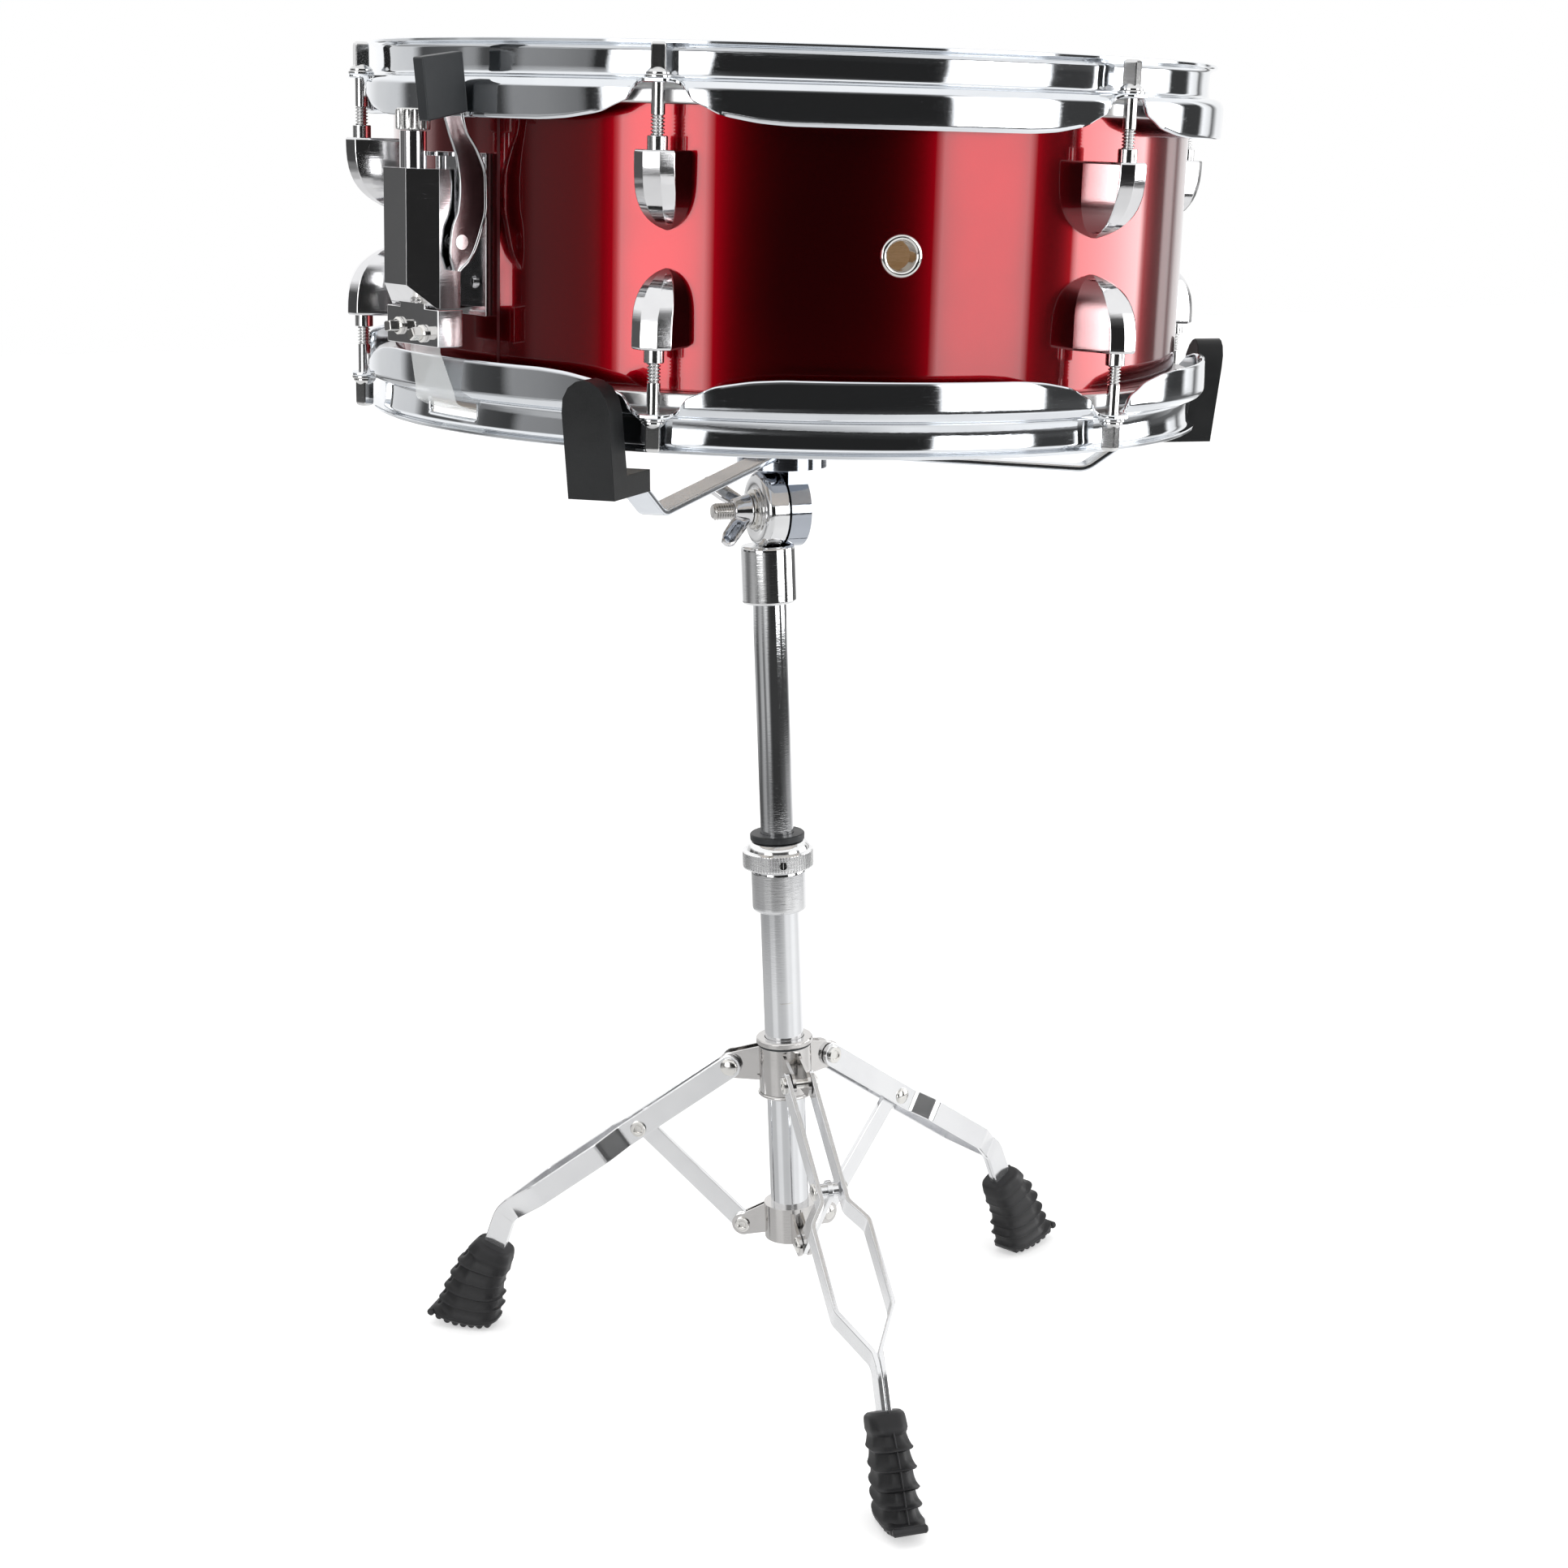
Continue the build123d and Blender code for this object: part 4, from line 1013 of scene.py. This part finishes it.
def leg_bar(sg):
    A, K, F_ = np.array([27.0, 155.0]), np.array([153.5, 64.5]), np.array([167.8, 27.5])
    c = [tuple(A)] + fillet([tuple(A), tuple(K), tuple(F_)], [0, 15.0, 0], 10, closed=False)[1:]
    p = np.array(c, float)
    L = np.r_[0, np.cumsum(np.hypot(*np.diff(p, axis=0).T))]
    N = 150
    q = np.linspace(0, L[-1], N)
    zc = [np.interp(f_[0] + e_, p[::-1, 1], L[::-1]) for f_ in FOLDS[1:-1] for e_ in np.linspace(-1.1, 1.1, 9)]
    q = np.unique(np.round(np.r_[np.linspace(0, 60, 4), zc, [v for v in L if v > 60], L[-1]], 3))
    X, Z = np.interp(q, L, p[:, 0]), np.interp(q, L, p[:, 1])
    Y = np.array([YOFF(z) for z in Z]) * sg
    hw = 5.75
    rings = []
    P3 = np.c_[X, Y, Z]
    T = np.gradient(P3, axis=0)
    T /= np.linalg.norm(T, axis=1)[:, None]
    sec = fillet([(-hw, -1.15), (hw, -1.15), (hw, 1.15), (-hw, 1.15)], 0.5, 3)
    up_ = None
    for e in np.linspace(-hw * 0.995, -0.4, 9):
        w = math.sqrt(max(hw * hw - e * e, 0.05))
        t = T[0]
        b_ = np.cross(t, [0, 1, 0]); b_ /= np.linalg.norm(b_)
        nn = np.cross(b_, t)
        rings.append([tuple(P3[0] + t * e + b_ * (a_ * w / hw) + nn * h) for a_, h in sec])
    for i in range(len(P3)):
        t = T[i]
        t2 = np.array([t[0], 0, t[2]]); t2 /= np.linalg.norm(t2)
        b_ = np.cross(t2, [0, 1, 0]); b_ /= np.linalg.norm(b_)
        nn = np.cross(b_, t); nn /= np.linalg.norm(nn)
        rings.append([tuple(P3[i] + b_ * a_ + nn * h) for a_, h in sec])
    return loft(rings)


BARS = join([leg_bar(1), leg_bar(-1)])


def strut_mesh():
    B, C = np.array(SB_), np.array(LC_)
    d = (C - B) / np.hypot(*(C - B))
    nrm = np.array([-d[1], d[0]])
    Ls = np.hypot(*(C - B))
    hw = 5.0
    sec = fillet([(-hw, -1.2), (hw, -1.2), (hw, 1.2), (-hw, 1.2)], 0.45, 3)
    rings = []
    for e in list(np.linspace(-hw * 0.995, -0.3, 9)) + [0.0, Ls * 0.25, Ls * 0.5, Ls * 0.75, Ls] + list(Ls + np.linspace(0.3, hw * 0.995, 9)):
        w = hw
        if e < 0:
            w = math.sqrt(max(hw * hw - e * e, 0.05))
        elif e > Ls:
            w = math.sqrt(max(hw * hw - (e - Ls) ** 2, 0.05))
        o_ = B + d * e
        rings.append([(o_[0] + nrm[0] * a_ * w / hw, h, o_[1] + nrm[1] * a_ * w / hw) for a_, h in sec])
    sp_ = xf(turn([(3.3, -4.5), (3.6, -4.2), (3.6, 4.2), (3.3, 4.5)], 32), mmt(C[0], 0, C[1]) @ YP)
    return join([loft(rings), sp_])


STRUTV = strut_mesh()

HEEL = [(150.4, 42.6), (152.2, 34.0), (156.2, 26.0), (158.0, 18.0), (159.0, 11.0), (162.0, 3.4)]
TOE = [(169.2, 51.2), (178.2, 42.0), (184.8, 32.4), (189.6, 23.4), (193.6, 15.2), (198.2, 8.0)]


def foot_mesh():
    def samp(pts):
        p = np.array(pts, float)
        u = np.linspace(0, 1, len(p))
        return pchip(list(zip(u, p[:, 0]))), pchip(list(zip(u, p[:, 1])))
    hx, hz = samp(HEEL)
    tx, tz_ = samp(TOE)
    rings = []
    ribs = [0.28, 0.43, 0.60, 0.77, 0.94]
    us = sorted(set(list(np.linspace(0, 1, 46)) + [r - 0.004 for r in ribs] + [r + 0.004 for r in ribs] + [r + 0.02 for r in ribs] + [r - 0.03 for r in ribs]))
    N = 40
    for u in us:
        h = np.array([hx(u), hz(u)])
        t = np.array([tx(u), tz_(u)])
        mid, ax = (h + t) / 2, (t - h) / 2
        La = np.hypot(*ax)
        axn = ax / La
        dn = np.array([axn[1], -axn[0]])            # toward the sole
        wy = 8.2 + 0.6 * smooth(u * 2)
        fl, fin = 0.0, 0.0
        for rb in ribs:
            f = (u - (rb - 0.15)) / 0.15
            if 0 <= f <= 1.0:
                fl = max(fl, f ** 2.4)
                fin = max(fin, f ** 7)
            g = (u - rb) / 0.016
            if 0 < g < 1:
                fl = max(fl, 1 - g)
                fin = max(fin, 1 - g)
        if u < 0.17:
            fl = fin = max(0.62, fl * 0.0) * smooth((0.185 - u) / 0.05)
        if u > 0.94:
            fl = fin = 0.86
        rnd = 0.0
        if u < 0.06:
            rnd = 1.6 * (1 - math.sqrt(max(0, 1 - (1 - u / 0.06) ** 2)))
        if u > 0.985:
            rnd = 1.0 * (u - 0.985) / 0.015
        ring_ = []
        for k in range(N):
            a = 2 * pi * (k + 0.5) / N
            ca, sa = cos(a), sin(a)
            ex = 0.42
            qx = (abs(ca) ** ex) * (1 if ca > 0 else -1)
            qy = (abs(sa) ** ex) * (1 if sa > 0 else -1)
            # flat sides with a shallow keel at heel and toe
            keel = 1.0 - 0.16 * abs(qy) ** 3
            toe_ = smooth(max(0.0, ca) * 1.25)
            amp = (3.1 * fin if ca > 0 else (2.0 * fin if u > 0.5 else 0.5 * fin))
            x_ = (La - (2.6 if ca > 0 else 1.2) + amp - rnd) * qx * keel
            y_ = (wy - 0.5 + fl * 1.5 - rnd) * qy * (1 - 0.34 * toe_ * (1 - fin))
            sag = 2.6 * (1 - (x_ / (La + 1)) ** 2) * smooth(u * 1.6)     # ribs hang in a smile
            pt = mid + axn * x_ + dn * sag
            ring_.append((pt[0], y_, pt[1]))
        rings.append(ring_)
    V, F = loft(rings)
    V = np.array(V)
    low = V[:, 2].min()
    # bed the sole on the floor
    z = V[:, 2]
    z = np.where(z < 0.0, z * 0.02, z)
    V[:, 2] = np.maximum(z, 0.0)
    return [tuple(v) for v in V], F


def foot_teeth():
    parts = []
    for k in range(8):
        u = -0.95 + 1.9 * k / 7
        x0 = 181.0 + 16.5 * u
        z0 = float(np.interp(x0, [163.0, 168.0, 181.0, 187.0, 198.0], [3.2, 1.6, 1.6, 2.9, 7.2]))
        c_ = xf(turn([(1.2, -8.0), (1.9, -7.2), (1.95, 7.2), (1.2, 8.0)], 16), mmt(x0, 0, z0 + 1.0) @ YP)
        parts.append(c_)
    return join(parts)


def foot_keel():
    """thin mould seam standing on the toe"""
    p = np.array(TOE, float)
    rings = []
    for i in range(len(p) * 4 - 3):
        q = i / 4.0
        x, z = np.interp(q, range(len(p)), p[:, 0]), np.interp(q, range(len(p)), p[:, 1])
        rings.append([(x - 2.6, -0.45, z - 1.6), (x - 1.1, -0.3, z - 0.5), (x - 1.0, 0.0, z - 0.4), (x - 1.1, 0.3, z - 0.5), (x - 2.6, 0.45, z - 1.6)])
    return loft(rings)


FOOTV = foot_mesh()
TEETH = foot_teeth()
for n, az in LEG_AZ.items():
    piece("leg_bars_" + n, *BARS, FLAT, "leg_" + n, ["leg_" + n], polm(az), 30)
    piece("strut_bar_" + n, *STRUTV, FLAT, "strut_" + n, ["strut_" + n], polm(az), 30)
    piece("rubber_foot_" + n, *join([FOOTV, TEETH, foot_keel()]), RUBF, "leg_" + n, ["foot_" + n], polm(az), 50)

# ------------------------------------------------------------------ floor, light, camera
me = bpy.data.meshes.new("floor")
me.from_pydata([(-8, -8, -0.0002), (8, -8, -0.0002), (8, 8, -0.0002), (-8, 8, -0.0002)], [], [(0, 1, 2, 3)])
fl = bpy.data.objects.new("floor", me)
bpy.context.scene.collection.objects.link(fl)
m, nt, b = newmat("pale_floor")
b.inputs["Base Color"].default_value = (0.93, 0.93, 0.93, 1)
b.inputs["Roughness"].default_value = 0.7
b.inputs["Specular IOR Level"].default_value = 0.1
b.inputs["Emission Color"].default_value = (1, 1, 1, 1)
b.inputs["Emission Strength"].default_value = 0.42
me.materials.append(m)
fl.visible_glossy = False

W = bpy.data.worlds.new("studio")
bpy.context.scene.world = W
W.use_nodes = True
wn = W.node_tree
wn.nodes.clear()
tc = wn.nodes.new("ShaderNodeTexCoord").outputs["Generated"]
sep = wn.nodes.new("ShaderNodeSeparateXYZ")
wn.links.new(tc, sep.inputs[0])
neg = node(wn, "ShaderNodeMath", _operation="MULTIPLY")
neg.inputs[1].default_value = -1
wn.links.new(sep.outputs[1], neg.inputs[0])
at = node(wn, "ShaderNodeMath", _operation="ARCTAN2")
wn.links.new(sep.outputs[0], at.inputs[0])
wn.links.new(neg.outputs[0], at.inputs[1])
fac = remap(wn, at.outputs[0], -pi, pi, 0, 1)
asn = node(wn, "ShaderNodeMath", _operation="ARCSINE")
wn.links.new(sep.outputs[2], asn.inputs[0])


def band(stops):
    """brightness against azimuth, degrees from the camera's side; stored at an eighth of its value"""
    r = wn.nodes.new("ShaderNodeValToRGB")
    wn.links.new(fac, r.inputs[0])
    el = r.color_ramp.elements
    while len(el) > 2:
        el.remove(el[0])
    for i, (a, v) in enumerate(stops):
        p = (a + 180) / 360.0
        if i < 2:
            el[i].position = p
            e = el[i]
        else:
            e = el.new(p)
        e.color = (v / 8, v / 8, v / 8, 1)
    return r.outputs[0]


# level with the drum: tall softboxes with dark gaps between them
MID = band([(-180, 1.0), (-152, 1.1), (-140, 0.75), (-124, 0.7), (-119, 0.08), (-101, 0.12), (-98, 0.35), (-94, 0.3), (-91, 0.08), (-80, 0.05), (-76.5, 0.30), (-66, 0.27), (-55.5, 0.2), (-53.5, 0.03), (-49.6, 0.03),
            (-48.2, 4.7), (-23.2, 4.5), (-21.8, 0.02), (40.2, 0.02), (41.6, 3.9), (69.6, 3.6), (71.2, 0.05), (86.0, 0.05), (88.0, 5.4), (118.5, 5.2), (121.5, 0.05), (133.5, 0.05), (136, 1.2), (142, 0.9), (145, 0.12), (151, 1.0)])
# three heights on the way down to the table
LOW1 = band([(-180, 1.2), (-160, 1.1), (-148, 0.9), (-136, 0.62), (-120, 0.68), (-110, 0.4), (-100, 0.2), (-88, 0.22), (-72, 0.48), (-54, 0.46), (-48, 0.26), (-40, 0.48), (-32, 0.85), (-22, 0.88), (-14, 0.45), (-8, 0.09),
             (8, 0.03), (40.2, 0.03), (41.6, 3.9), (69.6, 3.6), (71.2, 0.08), (86, 0.08), (88, 5.0), (118.5, 4.6), (121.5, 0.1), (140, 0.16), (166, 0.2), (174, 0.8)])
LOW2 = band([(-180, 0.75), (-160, 0.5), (-130, 0.4), (-118, 0.16), (-104, 0.10), (-94, 0.16), (-84, 0.42), (-64, 0.5), (-57, 0.18), (-48, 0.2), (-40, 0.52), (-28, 0.52), (-16, 0.1), (-8, 0.05), (60, 0.05), (100, 0.07),
             (122, 0.08), (136, 0.28), (152, 0.7), (176, 0.95)])
LOW3 = band([(-180, 0.28), (-160, 0.16), (-120, 0.09), (-106, 0.14), (-90, 0.34), (-72, 0.36), (-64, 0.19), (-54, 0.17), (-44, 0.25), (-32, 0.19), (-20, 0.06), (-8, 0.038), (32, 0.04), (50, 0.09), (72, 0.16), (88, 0.34), (106, 0.4),
             (122, 0.48), (136, 0.85), (152, 1.0), (176, 1.05)])
BOT1 = band([(-180, 0.56), (-140, 0.46), (-104, 0.4), (-72, 0.42), (-62, 0.55), (-40, 0.56), (-30, 0.40), (-20, 0.37), (-6, 0.4), (8, 0.5), (20, 0.6), (30, 0.9), (42, 0.98), (56, 0.94), (70, 1.12), (84, 1.15), (100, 0.98), (120, 0.9),
             (134, 1.12), (150, 1.2), (180, 1.2)])
BOT2 = band([(-180, 0.62), (-144, 0.55), (-120, 0.58), (-72, 0.58), (-62, 0.82), (-40, 0.86), (-29, 0.62), (-8, 0.6), (12, 0.66), (24, 0.8), (34, 0.98), (54, 0.95), (68, 1.12), (82, 1.1), (98, 0.97), (118, 0.9), (130, 1.08), (148, 1.15),
             (180, 1.15)])
TAB = band([(-180, 1.0), (-120, 0.85), (-60, 0.84), (-20, 0.8), (20, 0.82), (60, 0.98), (120, 0.98), (180, 1.0)])
el = asn.outputs[0]
c = MID
for a, b, lay in ((-6.6, -8.2, LOW1), (-9.9, -10.3, LOW2), (-12.3, -13.7, LOW3), (-14.85, -15.25, BOT1), (-16.7, -18.2, BOT2), (-23.6, -25.4, TAB)):
    c = mixc(wn, remap(wn, el, rad(a), rad(b), 0, 1), c, lay)
CEIL = band([(-180, 1.08), (-32, 1.08), (-22, 0.3), (-16, 0.12), (34, 0.12), (40, 0.3), (50, 1.08), (180, 1.08)])
c = mixc(wn, remap(wn, el, rad(9), rad(20), 0, 1), c, CEIL)
c = mixc(wn, remap(wn, el, rad(21), rad(32), 0, 1), c, (0.135, 0.135, 0.135))
bg1 = wn.nodes.new("ShaderNodeBackground")
wn.links.new(c, bg1.inputs[0])
bg1.inputs[1].default_value = 8.0
bg3 = wn.nodes.new("ShaderNodeBackground")            # what lights matt surfaces: an even soft room
bg3.inputs[0].default_value = (1, 1, 1, 1)
bg3.inputs[1].default_value = 0.75
bg2 = wn.nodes.new("ShaderNodeBackground")
bg2.inputs[0].default_value = (1, 1, 1, 1)
bg2.inputs[1].default_value = 1.0
lp = wn.nodes.new("ShaderNodeLightPath")
mxg = wn.nodes.new("ShaderNodeMixShader")
wn.links.new(lp.outputs["Is Glossy Ray"], mxg.inputs[0])
wn.links.new(bg3.outputs[0], mxg.inputs[1])
wn.links.new(bg1.outputs[0], mxg.inputs[2])
mx = wn.nodes.new("ShaderNodeMixShader")
wn.links.new(lp.outputs["Is Camera Ray"], mx.inputs[0])
wn.links.new(mxg.outputs[0], mx.inputs[1])
wn.links.new(bg2.outputs[0], mx.inputs[2])
out = wn.nodes.new("ShaderNodeOutputWorld")
wn.links.new(mx.outputs[0], out.inputs[0])


def area(name, pos, target, size, power):
    l = bpy.data.lights.new(name, "AREA")
    l.shape = "RECTANGLE"
    l.size, l.size_y = size
    l.energy = power
    o = bpy.data.objects.new(name, l)
    o.location = pos
    d = Vector(target) - Vector(pos)
    o.rotation_euler = d.to_track_quat("-Z", "Y").to_euler()
    o.visible_glossy = False
    bpy.context.scene.collection.objects.link(o)
    return o


area("top_soft", (0.0, -0.3, 2.2), (0, 0, 0.3), (1.8, 1.8), 9.0)
area("right_soft", (1.5, -1.3, 1.0), (0, 0, 0.5), (0.7, 1.4), 7.0)
area("left_soft", (-1.0, -1.9, 1.0), (0, 0, 0.5), (0.6, 1.4), 5.0)

cam = bpy.data.cameras.new("camera")
cam.sensor_width = 36.0
cam.lens = 36.0 * 3163.1 / 1932.0
cam.clip_end = 50
co = bpy.data.objects.new("camera", cam)
yaw, pit, rol = rad(0.194), rad(13.688), rad(-1.935)
fw = Vector((sin(yaw) * cos(pit), cos(yaw) * cos(pit), -sin(pit)))
r0 = Vector((cos(yaw), -sin(yaw), 0))
u0 = r0.cross(fw)
rt = r0 * cos(rol) + u0 * sin(rol)
uv = u0 * cos(rol) - r0 * sin(rol)
R3 = Matrix((rt, uv, -fw)).transposed()
co.matrix_world = Matrix.Translation((0, -1.2016, 0.5911)) @ R3.to_4x4()
bpy.context.scene.collection.objects.link(co)
bpy.context.scene.camera = co
bpy.context.scene.view_settings.view_transform = "Standard"
bpy.context.scene.view_settings.look = "None"
